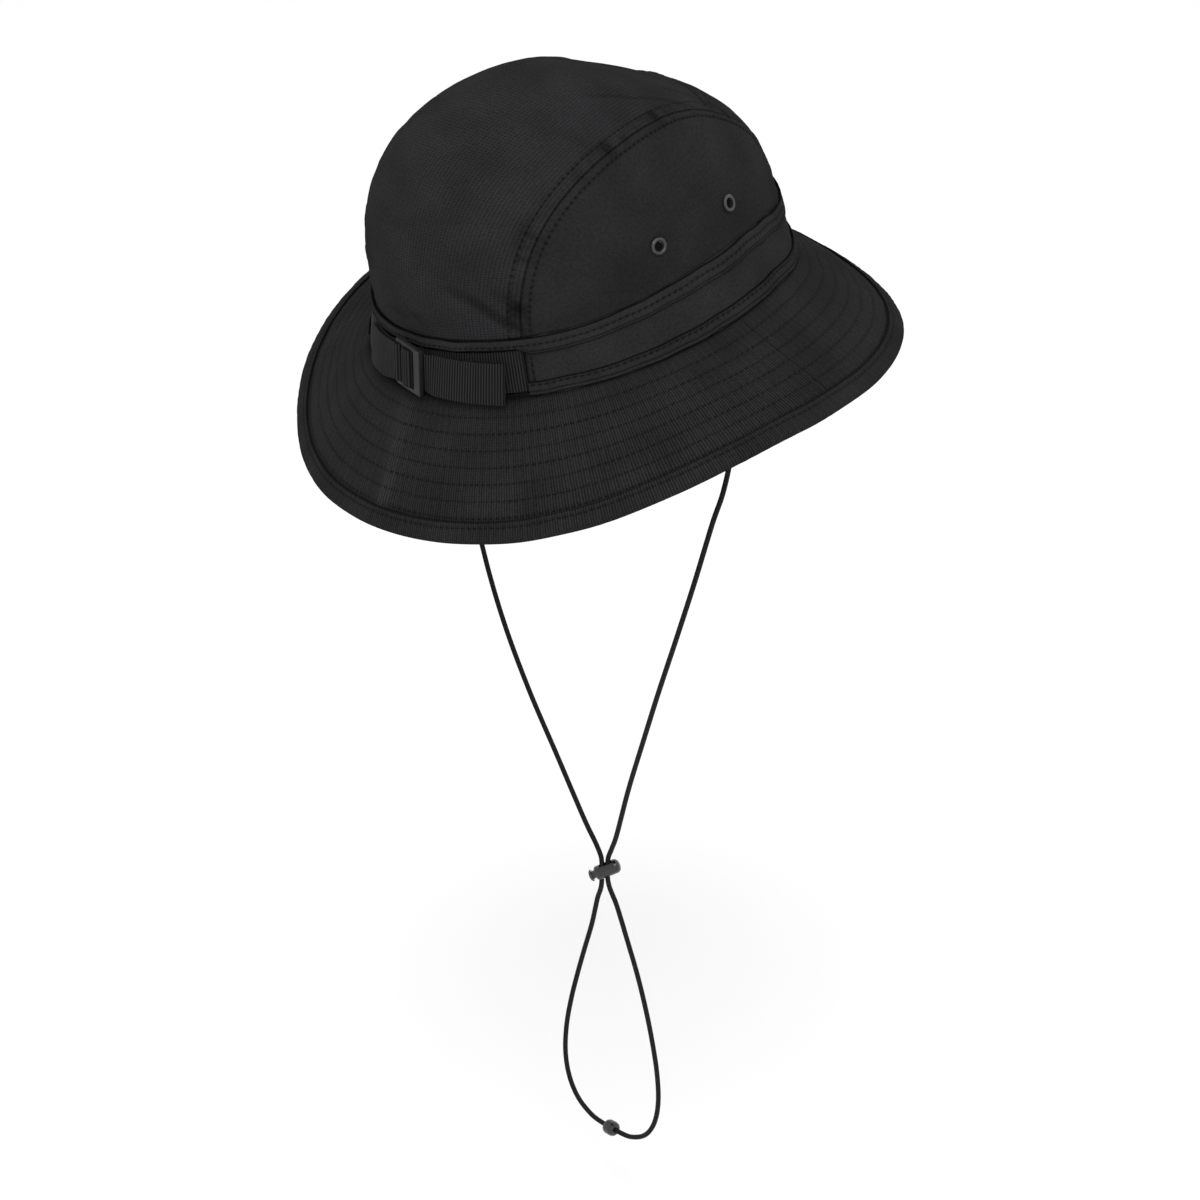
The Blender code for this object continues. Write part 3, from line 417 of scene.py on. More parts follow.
def darkened(tree, colour, factor, low, high, amount):
    """The colour, down to `amount` of itself where factor is low."""
    return scaled(tree, colour, spread(tree, factor, low, high, amount))


def bump(tree, shader, height, distance, strength=1.0):
    node = tree.nodes.new("ShaderNodeBump")
    node.inputs["Strength"].default_value = strength
    node.inputs["Distance"].default_value = distance
    tree.links.new(height, node.inputs["Height"])
    tree.links.new(node.outputs[0], shader.inputs["Normal"])


def plain_weave(tree, u, v, pitch):
    """Over and under threads: hills where both waves agree."""
    return maths(tree, "MULTIPLY", wave(tree, u, pitch), wave(tree, v, pitch))


def dotted_weave(tree, u, v, pitch):
    """A pique knit: small pits in staggered rows, between fine upright ribs."""
    first = maths(tree, "MULTIPLY", wave(tree, u, pitch * 2), wave(tree, v, pitch * 2))
    pits = maths(tree, "SUBTRACT", 0.6, maths(tree, "POWER", maths(tree, "ABSOLUTE", first), 2.0))
    ribs = maths(tree, "MULTIPLY", wave(tree, u, pitch / 2), 0.3)
    return maths(tree, "ADD", pits, ribs)


def ribbed_weave(tree, u, v, pitch):
    """A light ripstop: fine ribs with a heavier thread every few."""
    ribs = maths(tree, "MULTIPLY", wave(tree, u, pitch), 0.65)
    cross = maths(tree, "MULTIPLY", wave(tree, v, pitch * 0.9), 0.2)
    heavy = maths(tree, "POWER", maths(tree, "ABSOLUTE", wave(tree, u, pitch * 7)), 10.0)
    return maths(tree, "ADD", maths(tree, "ADD", ribs, cross), maths(tree, "MULTIPLY", heavy, 0.3))


def speckled(tree, colour, vector, scale, amount):
    """The colour, a little darker and lighter from thread to thread."""
    return darkened(tree, colour, noise_texture(tree, vector, scale, 1.0), 0.35, 0.6, amount)


def cloth(name, colour, weave, pitch, distance, contrast=0.6):
    material, tree, shader = new_material(name)
    vector, u, v = cloth_uv(tree)
    height = weave(tree, u, v, pitch)
    fuzz = noise_texture(tree, vector, 2.2, 2.0)
    height = maths(tree, "ADD", height, maths(tree, "MULTIPLY", fuzz, 0.9))
    patches = noise_texture(tree, vector, 0.035, 4.0)
    tone = tones(tree, patches, 0.35, 0.65, colour, 0.86, 1.14)
    # Darker where the weave lies low: painted shade in its hollows.
    tone = darkened(tree, tone, height, -0.2, 1.1, contrast)
    tone = speckled(tree, tone, vector, 0.75, 0.8)
    tree.links.new(shaded(tree, tone), shader.inputs["Base Color"])
    tree.links.new(spread(tree, fuzz, to_low=0.83, to_high=0.97), shader.inputs["Roughness"])
    shader.inputs["Sheen Weight"].default_value = 0.01
    shader.inputs["Sheen Roughness"].default_value = 0.5
    shader.inputs["Specular IOR Level"].default_value = 0.0
    bump(tree, shader, height, distance)
    return material


def thread_material(name, colour):
    """Sewing thread: a fine twist with a low gloss, with painted light on each twist's crest and painted
    shade between.
    """
    material, tree, shader = new_material(name)
    _, u, v = cloth_uv(tree)
    turn = maths(tree, "ADD", maths(tree, "MULTIPLY", u, 12.0), maths(tree, "MULTIPLY", v, 9.0))
    twist = maths(tree, "SINE", turn)
    tone = tones(tree, twist, -1.0, 1.0, colour, 0.7, 1.3)
    tree.links.new(tone, shader.inputs["Base Color"])
    shader.inputs["Roughness"].default_value = 0.75
    shader.inputs["Specular IOR Level"].default_value = 0.1
    bump(tree, shader, twist, 0.00004)
    return material


def webbing_material(name, colour):
    """Ribbed webbing: fine yarns along each rib, with a painted highlight on each rib and painted shade in
    the grooves.
    """
    material, tree, shader = new_material(name)
    vector, u, v = cloth_uv(tree)
    ribs = wave(tree, u, RIB_PITCH, math.pi / 2)
    yarns = wave(tree, v, 0.62)
    fuzz = noise_texture(tree, vector, 3.0, 2.0)
    height = maths(tree, "ADD", maths(tree, "MULTIPLY", yarns, 0.5), fuzz)
    tone = tones(tree, ribs, -0.6, 0.8, colour, 0.06, 1.7)
    tree.links.new(shaded(tree, tone), shader.inputs["Base Color"])
    shader.inputs["Roughness"].default_value = 0.75
    shader.inputs["Specular IOR Level"].default_value = 0.15
    bump(tree, shader, height, 0.00008)
    return material


def braid_material(name, colour):
    """A round braid: two sets of strands crossing round the cord, with a painted highlight on the strands
    and painted shade where they dip.
    """
    material, tree, shader = new_material(name)
    vector, u, v = cloth_uv(tree)
    along = maths(tree, "MULTIPLY", u, math.pi / 1.6)
    around = maths(tree, "MULTIPLY", v, 3.333)
    one, two = maths(tree, "ADD", along, around), maths(tree, "SUBTRACT", along, around)
    crossing = maths(tree, "MAXIMUM", maths(tree, "SINE", one), maths(tree, "SINE", two))
    fuzz = noise_texture(tree, vector, 4.0, 2.0)
    height = maths(tree, "ADD", crossing, maths(tree, "MULTIPLY", fuzz, 0.4))
    tone = tones(tree, crossing, -0.2, 1.0, colour, 0.5, 1.3)
    tree.links.new(tone, shader.inputs["Base Color"])
    shader.inputs["Roughness"].default_value = 0.75
    shader.inputs["Specular IOR Level"].default_value = 0.15
    bump(tree, shader, height, 0.00015)
    return material


def hard_material(name, colour, roughness, coat=0.0, grain=1.0, gloss=0.5):
    """Moulded plastic or lacquered metal with a fine grain and faint handling marks."""
    material, tree, shader = new_material(name)
    place = tree.nodes.new("ShaderNodeTexCoord").outputs["Object"]
    fine = noise_texture(tree, place, 4000.0 * grain, 2.0)
    marks = noise_texture(tree, place, 260.0, 4.0)
    tone = tones(tree, marks, 0.3, 0.75, colour, 0.85, 1.25)
    tree.links.new(tone, shader.inputs["Base Color"])
    rough = spread(tree, marks, to_low=roughness * 0.8, to_high=roughness * 1.25)
    tree.links.new(rough, shader.inputs["Roughness"])
    shader.inputs["Specular IOR Level"].default_value = gloss
    shader.inputs["Coat Weight"].default_value = coat
    shader.inputs["Coat Roughness"].default_value = 0.12
    bump(tree, shader, fine, 0.00003, 0.6)
    return material


def screen_material(name, colour, pitch):
    """A fine open mesh, seen as threads over dark holes."""
    material, tree, shader = new_material(name)
    split = tree.nodes.new("ShaderNodeSeparateXYZ")
    tree.links.new(tree.nodes.new("ShaderNodeTexCoord").outputs["Object"], split.inputs[0])
    over = [wave(tree, split.outputs[k], pitch) for k in (1, 2)]
    threads = maths(tree, "MAXIMUM", *over)
    tone = tones(tree, threads, 0.1, 0.9, colour, 0.15, 1.0)
    tree.links.new(tone, shader.inputs["Base Color"])
    shader.inputs["Roughness"].default_value = 0.9
    shader.inputs["Specular IOR Level"].default_value = 0.05
    bump(tree, shader, threads, 0.0001)
    return material


PIQUE = cloth("crown_pique_cloth", (0.0245, 0.0245, 0.0258),
    dotted_weave, 1.5, 0.0002, contrast=0.4)
PLAIN = cloth("side_plain_cloth", (0.0258, 0.0258, 0.0260),
    plain_weave, 0.8, 0.0001, contrast=0.5)
BAND_CLOTH = cloth("band_plain_cloth", (0.0300, 0.0300, 0.0302),
    plain_weave, 0.8, 0.0001, contrast=0.5)
BRIM_CLOTH = cloth("brim_ripstop_cloth", (0.0238, 0.0238, 0.0246),
    ribbed_weave, 1.2, 0.0001, contrast=0.4)
LINING = cloth("lining_cloth", (0.0190, 0.0190, 0.0195), plain_weave, 0.7, 0.00006)
THREAD = thread_material("sewing_thread", (0.0075, 0.0075, 0.008))
WEBBING = webbing_material("ribbed_webbing", (0.0105, 0.0105, 0.0105))
BRAID = braid_material("cord_braid", (0.0085, 0.0085, 0.0088))
MATT_PLASTIC = hard_material("matt_buckle_plastic", (0.0065, 0.0065, 0.0067), 0.5, gloss=0.28)
GLOSSY_PLASTIC = hard_material("glossy_lock_plastic", (0.004, 0.004, 0.0042), 0.2, coat=0.2, grain=0.5)
DARK_METAL = hard_material("black_eyelet_lacquer", (0.02, 0.02, 0.021), 0.4, gloss=0.4, coat=0.2)
SCREEN_MESH = screen_material("vent_screen_mesh", (0.012, 0.012, 0.0125), 0.0006)


# ---------------------------------------------------------------- chin cord

def smooth_route(places, step):
    """Points every `step` or so along one smooth curve through the places."""
    places = np.array(places, float)
    ends = spline_ends(places)
    fine = []
    share = (np.arange(16) / 16.0)[:, None]
    for n in range(len(places) - 1):
        before, here, there, after = ends[n:n + 4]
        fine.append(0.5 * (2 * here + (there - before) * share
                           + (2 * before - 5 * here + 4 * there - after) * share ** 2
                           + (3 * here - before - 3 * there + after) * share ** 3))
    fine = np.concatenate([*fine, places[-1:]])
    along = arc_length(fine)
    wanted = np.linspace(0.0, along[-1], max(2, round(along[-1] / step)) + 1)
    return sampled(wanted, along, fine)


def one_side(route, sign):
    """The left (+1) or right (-1) run of the cord, turned a little to enter the lock side by side."""
    places = []
    for x, y, z in route:
        beyond = max(0.0, abs(z - LOCK_Z) - CORD_STRAIGHT)
        twist = max(0.0, 1.0 - beyond / CORD_TWIST_REACH) * CORD_TWIST
        places.append((sign * x, y + sign * twist, z))
    return places


def carried_frames(line, first_up):
    """Two directions square to the line at each of its points, without twist."""
    tangent = unit(np.gradient(line, axis=0))
    ups = np.empty_like(line)
    up = np.array(first_up, float)
    for n, along in enumerate(tangent):
        up = unit(up - along * (up @ along))
        ups[n] = up
    return ups, np.cross(tangent, ups)


def hang_cord(name, line, node):
    """A round braided cord along the line."""
    up, across = carried_frames(line, (0.0, 1.0, 0.0))
    angle = 2 * math.pi * np.arange(CORD_SIDES) / CORD_SIDES
    ring = np.cos(angle)[None, :, None] * up[:, None] + np.sin(angle)[None, :, None] * across[:, None]
    along = arc_length(line)
    uv = np.stack(np.broadcast_arrays(along[:, None], (angle * CORD_RADIUS)[None]), -1)
    sections = line[:, None] + ring * CORD_RADIUS
    piece = swept(name, sections, uv, BRAID, hat_axis=False)
    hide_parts(node)
    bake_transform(piece)


def build_cord():
    for name, sign in (("left", 1.0), ("right", -1.0)):
        line = smooth_route(one_side(STRAND_ROUTE, sign), CORD_POINT_STEP)
        hang_cord("chin_cord_strand_" + name, line, "chin_cord_" + name)
    route = one_side(LOOP_ROUTE, 1.0) + one_side(LOOP_ROUTE[:-1], -1.0)[::-1]
    line = smooth_route(route, CORD_POINT_STEP)
    hang_cord("chin_cord_lower_loop", line, "chin_cord_loop")


build_cord()


# ---------------------------------------------------------------- shapes of the hat

def from_back(phi):
    """Degrees round from the middle of the back, either way."""
    return np.abs((np.degrees(phi) + 180.0) % 360.0 - 180.0)


def side_rise(phi):
    """How much taller the band is than at the back, as a factor."""
    return 1.0 + SIDE_RISE * smooth_step(*SIDE_SPAN_DEG, from_back(phi))


def front_share(phi):
    """From 0 at the sides to 1 in front, where the hat sits lower and closer in."""
    return smooth_step(*FRONT_SPAN_DEG, from_back(phi))


def oval_normal(phi):
    return unit(np.stack([-np.sin(phi) / HALF_WIDTH, np.cos(phi) / HALF_LENGTH, 0.0 * phi], -1))


def upwards(like):
    return np.broadcast_to(np.array([0.0, 0.0, 1.0]), like.shape)


def band_normal(phi):
    normal = oval_normal(phi)
    return unit(normal + upwards(normal) * BAND_SLOPE)


def band_up(phi):
    normal = oval_normal(phi)
    return unit(upwards(normal) - normal * BAND_SLOPE)


def band_point(phi, lift, out=0.0):
    phi, lift, out = np.broadcast_arrays(phi, lift, out)
    tuck = FRONT_TUCK * front_share(phi)
    narrow = tuck + (BAND_TAPER - tuck) * lift / BAND_HEIGHT
    height = lift * side_rise(phi) - FRONT_DIP * front_share(phi)
    across, back = -(HALF_WIDTH - narrow) * np.sin(phi), (HALF_LENGTH - narrow) * np.cos(phi)
    return np.stack([across, back, height], -1) + band_normal(phi) * out[..., None]


def crown_point(x, y):
    """The crown's outer face over a flat disc of radius 1, whose rim is the foot of the crown."""
    reach = np.maximum(np.hypot(x, y), 1e-9)
    back = y / reach
    rise = (1.0 - np.minimum(reach, 1.0)) * math.pi / 2
    squareness = CROWN_SQUARENESS[0] + CROWN_SQUARENESS[1] * back
    squareness = 2.0 + (squareness - 2.0) * (1.0 - np.sin(rise) ** 12)
    roundness = CROWN_ROUNDNESS[0] + CROWN_ROUNDNESS[1] * back
    spread = np.cos(rise) ** (2.0 / squareness)
    height = np.sin(rise) ** (2.0 / roundness)
    phi = np.arctan2(-x, y)
    settled = BAND_HEIGHT * (side_rise(phi) - 1.0) - FRONT_DIP * front_share(phi)
    return np.stack([
        (HALF_WIDTH - BAND_TAPER) * spread * x / reach,
        (HALF_LENGTH - BAND_TAPER) * spread * back + CROWN_LEAN * np.sin(rise),
        BAND_HEIGHT + CROWN_HEIGHT * height + settled * (1.0 - height) ** 2,
    ], -1)


def crown_normal(x, y):
    step = 1e-3
    here = crown_point(x, y)
    in_x = (crown_point(x - np.copysign(step, x), y) - here) * np.copysign(1.0, -x)[..., None]
    in_y = (crown_point(x, y - np.copysign(step, y)) - here) * np.copysign(1.0, -y)[..., None]
    return unit(np.cross(in_x, in_y))


def brim_slope(phi):
    droop = sum(part * np.cos(n * phi) for n, part in enumerate(BRIM_DROOP_DEG))
    wave_round = sum(part * np.sin(n * phi) for n, part in enumerate(BRIM_WAVE_DEG, start=1))
    droop = np.radians(droop + wave_round)
    normal = oval_normal(phi)
    return normal * np.cos(droop)[..., None] - upwards(normal) * np.sin(droop)[..., None]


def brim_point(phi, along):
    settled = front_share(phi) * (1.0 - along / brim_width(phi))
    half_width, half_length = HALF_WIDTH - FRONT_TUCK * settled, HALF_LENGTH - FRONT_TUCK * settled
    start = np.stack([-half_width * np.sin(phi), half_length * np.cos(phi), -FRONT_DIP * settled], -1)
    return start + brim_slope(phi) * along[..., None]


def brim_normal(phi, along):
    sideways = brim_point(phi + 0.005, along) - brim_point(phi - 0.005, along)
    normal = unit(np.cross(sideways, brim_point(phi, along + 1.0) - brim_point(phi, along - 1.0)))
    return normal * np.sign(normal[..., 2:3])


def brim_width(phi):
    return BRIM_WIDTH[0] + BRIM_WIDTH[1] * np.cos(phi)


def seam_x(y):
    """Half the width of the middle panels at y on the flattened crown."""
    flare = SEAM_FLARE * (np.maximum(y - 0.1, 0.0) / 0.684) ** 2.2
    narrowing = SEAM_NARROWING * np.sin(math.pi * np.clip(-y - 0.1, 0.0, 1.2) / 1.2) ** 2
    return SEAM_HALF_WIDTH + flare - narrowing


def rim_crossing(inside, outside, gap):
    for _ in range(40):
        middle = (inside + outside) / 2
        if math.hypot(float(seam_x(middle)) + gap, middle) < 1.0:
            inside = middle
        else:
            outside = middle
    return inside


MIDDLE_ENDS_Y = [rim_crossing(*span, -SEAM_GAP) for span in ((0.5, 0.95), (-0.5, -0.98))]
SIDE_ENDS_Y = [rim_crossing(*span, SEAM_GAP) for span in ((0.5, 0.95), (-0.5, -0.98))]


# ---------------------------------------------------------------- stitches and sewn relief

STITCH = 2.35
STITCH_PITCH = 3.0


def stitches(lines):
    """Points, faces and uv of a short raised thread for each stitch along lines of (points, normals)."""
    starts, ends, normals = [], [], []
    for points, outwards in lines:
        along = arc_length(points)
        count = int(along[-1] / STITCH_PITCH)
        begin = np.arange(count) * STITCH_PITCH + 0.3
        for list_, places in ((starts, begin), (ends, begin + STITCH)):
            list_.append(sampled(places, along, points))
        normals.append(sampled(begin, along, outwards))
    start, end, out = (np.concatenate(part) for part in (starts, ends, normals))
    along = unit(end - start)
    side = unit(np.cross(along, out))
    half, high, low = 0.24, 0.26, -0.12
    verts = [start + out * low]
    for share in (0.2, 0.8):
        middle = mix(start, end, share)
        verts += [middle + side * half, middle + out * high, middle - side * half, middle + out * low]
    verts.append(end + out * low)
    points = np.stack(verts, 1)
    pattern = np.array([(1 + c, 1 + (c + 1) % 4, 5 + (c + 1) % 4, 5 + c) for c in range(4)])
    tips = np.array([(1 + (c + 1) % 4, 1 + c, 0) for c in range(4)]
                    + [(5 + c, 5 + (c + 1) % 4, 9) for c in range(4)])
    shift = (np.arange(len(points)) * 10)[:, None, None]
    lengths = np.array([0.0] + [0.5] * 4 + [1.9] * 4 + [STITCH])
    uv = np.zeros((len(points), 10, 2)) + np.stack([lengths, np.arange(10) * 0.3], -1)
    return points.reshape(-1, 3), (pattern + shift).reshape(-1, 4), (tips + shift).reshape(-1, 3), uv


def add_stitches(name, lines):
    points, quads, triangles, uv = stitches(lines)
    faces = [quads, triangles]
    piece = mesh_object(name, to_world(points), faces, uv.reshape(-1, 2), THREAD, 180.0)
    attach(piece, "hat")


def needle_marks(along):
    """1 at each needle hole, 0 along the stitch."""
    return 0.5 + 0.5 * np.cos(2 * math.pi * (along - 0.15) / STITCH_PITCH)


class Relief:
    """How far a cloth stands off its plain surface, in millimetres, and the shade and highlight painted
    into its colour.
    """

    def __init__(self, like):
        self.height = 0.0 * like
        self.shade = 1.0 + 0.0 * like

    def hills(self, amount, u, v, seed, wrap=64):
        level = 0.0 * self.height
        self.height = self.height + amount * noise(u + level, v + level, seed, wrap)

    def line(self, gap, width, depth, dark, where=1.0):
        """A valley along a line, depth below 0 for a ridge, with painted shade `dark` at its bottom, or a
        painted highlight where `dark` is below 0.
        """
        shape = np.exp(-(gap / width) ** 2) * where
        self.height = self.height - depth * shape
        self.shade = self.shade * (1.0 - dark * shape)

    def stitched(self, gap, along, depth=0.34, width=0.7, dark=0.35):
        """The groove that a row of stitches pulls into the cloth, deepest and with most painted shade at
        the needle holes.
        """
        holes = needle_marks(along)
        self.line(gap, width, depth, dark * 0.5, 0.45 + 0.55 * holes)
        self.line(gap, 0.5, 0.1, dark, holes ** 2)

    def flat_seam(self, gap, along, middle_side, seed):
        """A seam whose allowances lie under a row of stitching on each side.

        middle_side is True on the crown's middle panels, where the allowance puckers most.
        """
        row = np.where(middle_side, ROWS_FROM_SEAM["middle"], ROWS_FROM_SEAM["side"])
        # The seam's valley gets painted shade.
        self.line(gap, 0.5, 0.5, 0.5, 0.6 + 0.4 * needle_marks(along))
        self.height = self.height + 0.42 * (1.0 - smooth_step(-0.4, 0.9, gap - row))
        self.stitched(gap - row, along, 0.5, 0.7, 0.55)
        inside = (1.0 - smooth_step(-0.8, 1.8, gap - row)) * np.where(middle_side, 1.0, 0.45)
        rungs = np.maximum(noise(along / 2.5 + 7.0, gap / 9.0, seed), -0.3)
        deep = smooth_step(0.25, 0.75, noise(along / 6.5 + 3.0, gap / 20.0, seed + 5)) * inside
        often = 0.4 + 0.6 * noise(along / 16.0, 0.0 * gap, seed + 6)
        ladder = needle_marks(along + 1.5) ** 2 * inside * often
        self.height = self.height - 0.5 * rungs * inside - 0.5 * deep
        # Painted shade in the puckers' valleys and in a ladder of bands between the needle holes.
        self.shade = self.shade * (1.0 - 0.3 * np.maximum(rungs, 0.0) * inside)
        self.shade = self.shade * (1.0 - 0.4 * deep) * (1.0 - 0.22 * np.maximum(ladder, 0.0))
        self.hills(0.14, along / 5.5, gap / 12.0, seed + 1)


# ---------------------------------------------------------------- crown

SEAMS = {}
for side in (-1.0, 1.0):
    seam_y = np.linspace(MIDDLE_ENDS_Y[0], MIDDLE_ENDS_Y[1], 900)
    SEAMS[side] = crown_point(side * seam_x(seam_y), seam_y)
across = np.linspace(-1.0, 1.0, 260)
cross_x = across * seam_x(CROSS_SEAM_Y)
cross_y = CROSS_SEAM_Y - CROSS_SEAM_BOW * (1.0 - across ** 2)
CROSS_SEAM = crown_point(cross_x, cross_y)

# Creases: a route over the flattened crown, how deep, how wide and how much painted shade lies along it
CREASES = (
    (((-0.25, 0.785), (-0.364, 0.777), (-0.415, 0.776), (-0.475, 0.781), (-0.53, 0.782), (-0.62, 0.765)),
     1.7, 2.0, 0.42),
    (((-0.22, 0.74), (-0.33, 0.735), (-0.42, 0.735), (-0.50, 0.742), (-0.57, 0.748)), -0.7, 3.4, 0.0),
    (((-0.435, 0.71), (-0.495, 0.698), (-0.548, 0.695), (-0.60, 0.70)), 0.9, 2.4, 0.25),
    (((-0.44, 0.36), (-0.455, 0.42), (-0.459, 0.472), (-0.47, 0.53)), 0.7, 2.4, 0.2),
    (((-0.24, -0.0), (-0.293, -0.062), (-0.378, -0.192), (-0.408, -0.325), (-0.44, -0.39)), 0.4, 1.1, 0.22),
    (((-0.27, -0.36), (-0.322, -0.444), (-0.358, -0.506), (-0.40, -0.54)), 0.35, 1.2, 0.2),
    (((-0.16, 0.925), (0.02, 0.95), (0.2, 0.93)), 0.4, 2.2, 0.12),
    (((0.007, 0.891), (-0.082, 0.938), (-0.12, 0.955)), 0.4, 1.6, 0.15),
    (((0.22, 0.79), (0.38, 0.77), (0.60, 0.76)), 0.9, 2.4, 0.25),
    (((0.30, -0.12), (0.40, -0.25), (0.44, -0.36)), 0.3, 1.4, 0.12),
)


def above_foot(points, x, y):
    phi = np.arctan2(-x, y)
    return points[..., 2] - BAND_HEIGHT * side_rise(phi) + FRONT_DIP * front_share(phi)


def crown_relief(points, x, y):
    phi = np.arctan2(-x, y)
    lift = above_foot(points, x, y)
    cloth_relief = Relief(x)
    for number, line in enumerate((SEAMS[-1.0], SEAMS[1.0], CROSS_SEAM)):
        gap, along = near_line(points, line)
        middle_side = np.abs(x) < seam_x(y)
        if number == 2:
            gap = gap + 30.0 * (np.abs(x) > seam_x(y) - 0.03)
            middle_side = y > CROSS_SEAM_Y - CROSS_SEAM_BOW * (1.0 - (x / seam_x(CROSS_SEAM_Y)) ** 2)
        cloth_relief.flat_seam(gap, along, middle_side, 20 + number)
    # Painted shade at the crown's foot, under the welt.
    cloth_relief.shade = cloth_relief.shade * mix(0.35, 1.0, smooth_step(0.0, 1.3, lift))
    pull = 0.45 * np.exp(-lift / 9.0) * smooth_step(-1.0, 3.0, lift)
    cloth_relief.hills(pull, phi * 20 / math.pi + 64, lift / 13.0, 41, 40)
    cloth_relief.hills(0.55, points[..., 0] / 34 + 9, points[..., 1] / 30 + 11, 43)
    cloth_relief.hills(0.16, points[..., 0] / 13 + 9, (points[..., 1] + points[..., 2]) / 17 + 11, 44)
    for route, depth, width, dark in CREASES:
        route = np.array(route)
        steps = np.linspace(0, len(route) - 1, 120)
        line_x, line_y = (np.interp(steps, np.arange(len(route)), route[:, k]) for k in (0, 1))
        line = crown_point(line_x, line_y)
        gap, along = near_line(points, line)
        length = arc_length(line)[-1]
        fade = smooth_step(-6.0, 14.0, along) * smooth_step(-6.0, 6.0, length - along)
        cloth_relief.line(gap, width, depth, dark, fade)
    return cloth_relief


def crown_cloth(name, x, y, uv, material, node, holes=()):
    base = crown_point(x, y)
    normal = crown_normal(x, y)
    relief = crown_relief(base, x, y)
    fade = smooth_step(-0.5, 2.0, above_foot(base, x, y))
    outer = base + normal * (relief.height * fade - CROWN_SINK)[..., None]
    inner = base - normal * CROWN_THICKNESS
    keep = None
    for hole in holes:
        centre = crown_point(np.array(hole[0]), np.array(hole[1]))
        clear = np.linalg.norm(base - centre, axis=-1) > EYELET_HOLE
        squares = clear[1:, 1:] & clear[:-1, 1:] & clear[1:, :-1] & clear[:-1, :-1]
        keep = squares if keep is None else keep & squares
    piece = shell(name, outer, inner, uv, material, keep=keep, shade=relief.shade)
    worn(piece, node)


def rim_bulge(u, end_y):
    return np.sqrt(1.0 - (u * (seam_x(end_y) - SEAM_GAP)) ** 2) - abs(end_y)


def grid(columns, rows):
    return np.meshgrid(np.linspace(0.0, 1.0, columns), np.linspace(0.0, 1.0, rows), indexing="ij")


def fine_ends(t, strength=0.35):
    """Moves even steps closer together near both ends."""
    return t - strength * np.sin(2 * math.pi * t) / (2 * math.pi)


def build_middle_panels():
    s, t = grid(211, 382)
    u = 2.0 * s - 1.0
    back_y, front_y = MIDDLE_ENDS_Y
    y = mix(back_y, CROSS_SEAM_Y - CROSS_SEAM_LAP, t)
    x = -u * (seam_x(y) - SEAM_GAP)
    y = y + (1.0 - t) ** 2 * rim_bulge(u, back_y) - t ** 2 * CROSS_SEAM_BOW * (1.0 - u * u)
    crown_cloth("crown_top_cloth", x, y, np.stack([u * 55.0, t * 270.0], -1), PIQUE, "crown_top_panel")
    s, t = grid(202, 112)
    u = 2.0 * s - 1.0
    y = mix(CROSS_SEAM_Y + CROSS_SEAM_LAP, front_y, t)
    x = -u * (seam_x(y) - SEAM_GAP)
    y = y - (1.0 - t) * CROSS_SEAM_BOW * (1.0 - u * u) - t * rim_bulge(u, front_y)
    uv = np.stack([u * 42.0, t * 70.0], -1)
    crown_cloth("crown_front_cloth", x, y, uv, PLAIN, "crown_front_panel")


def seam_place(y):
    return np.stack([seam_x(y) + SEAM_GAP, y + 0.0 * y], -1)


def build_side_panel(name, side):
    back_corner_y, front_corner_y = 0.35, -0.42
    back_y, front_y = SIDE_ENDS_Y
    back_phi = math.atan2(seam_x(back_y) + SEAM_GAP, back_y)
    front_phi = math.atan2(seam_x(front_y) + SEAM_GAP, front_y)

    def rim(s):
        phi = mix(back_phi, front_phi, s)
        return np.stack([np.sin(phi), np.cos(phi)], -1)
    s, t = grid(298, 151)
    foot, top = rim(s), seam_place(mix(back_corner_y, front_corner_y, s))
    back, front = seam_place(mix(back_y, back_corner_y, t)), seam_place(mix(front_y, front_corner_y, t))
    edges = mix(foot, top, t[..., None]) + mix(back, front, s[..., None])
    low = mix(rim(np.array(0.0)), rim(np.array(1.0)), s[..., None])
    high = mix(seam_place(np.array(back_corner_y)), seam_place(np.array(front_corner_y)), s[..., None])
    place = edges - mix(low, high, t[..., None])
    x, y = side * place[..., 0], place[..., 1]
    base = crown_point(x, y)
    uv = np.stack([base[..., 1], base[..., 2] * 1.1], -1)
    holes = [(side * hole[0], hole[1]) for hole in EYELETS.values()]
    crown_cloth("crown_side_cloth_" + name, x, y, uv, PLAIN, "crown_side_panel_" + name, holes)


def beside_seam(line_x, line_y, away, row):
    """The line on the crown `row` from a seam, on the side that `away` points to on the disc."""
    seam = crown_point(line_x, line_y)
    low, high = np.zeros(len(line_x)), np.full(len(line_x), 0.25)
    for _ in range(18):
        middle = (low + high) / 2
        gap, _ = near_line(crown_point(line_x + away[0] * middle, line_y + away[1] * middle), seam)
        low = np.where(gap < row, middle, low)
        high = np.where(gap < row, high, middle)
    x, y = line_x + away[0] * high, line_y + away[1] * high
    inside = np.hypot(x, y) < 0.985
    return x[inside], y[inside]


def on_relief(x, y):
    """The cloth's surface and normal along a line on the flattened crown."""
    base, normal = crown_point(x, y), crown_normal(x, y)
    return base + normal * (crown_relief(base, x, y).height - CROWN_SINK)[..., None], normal


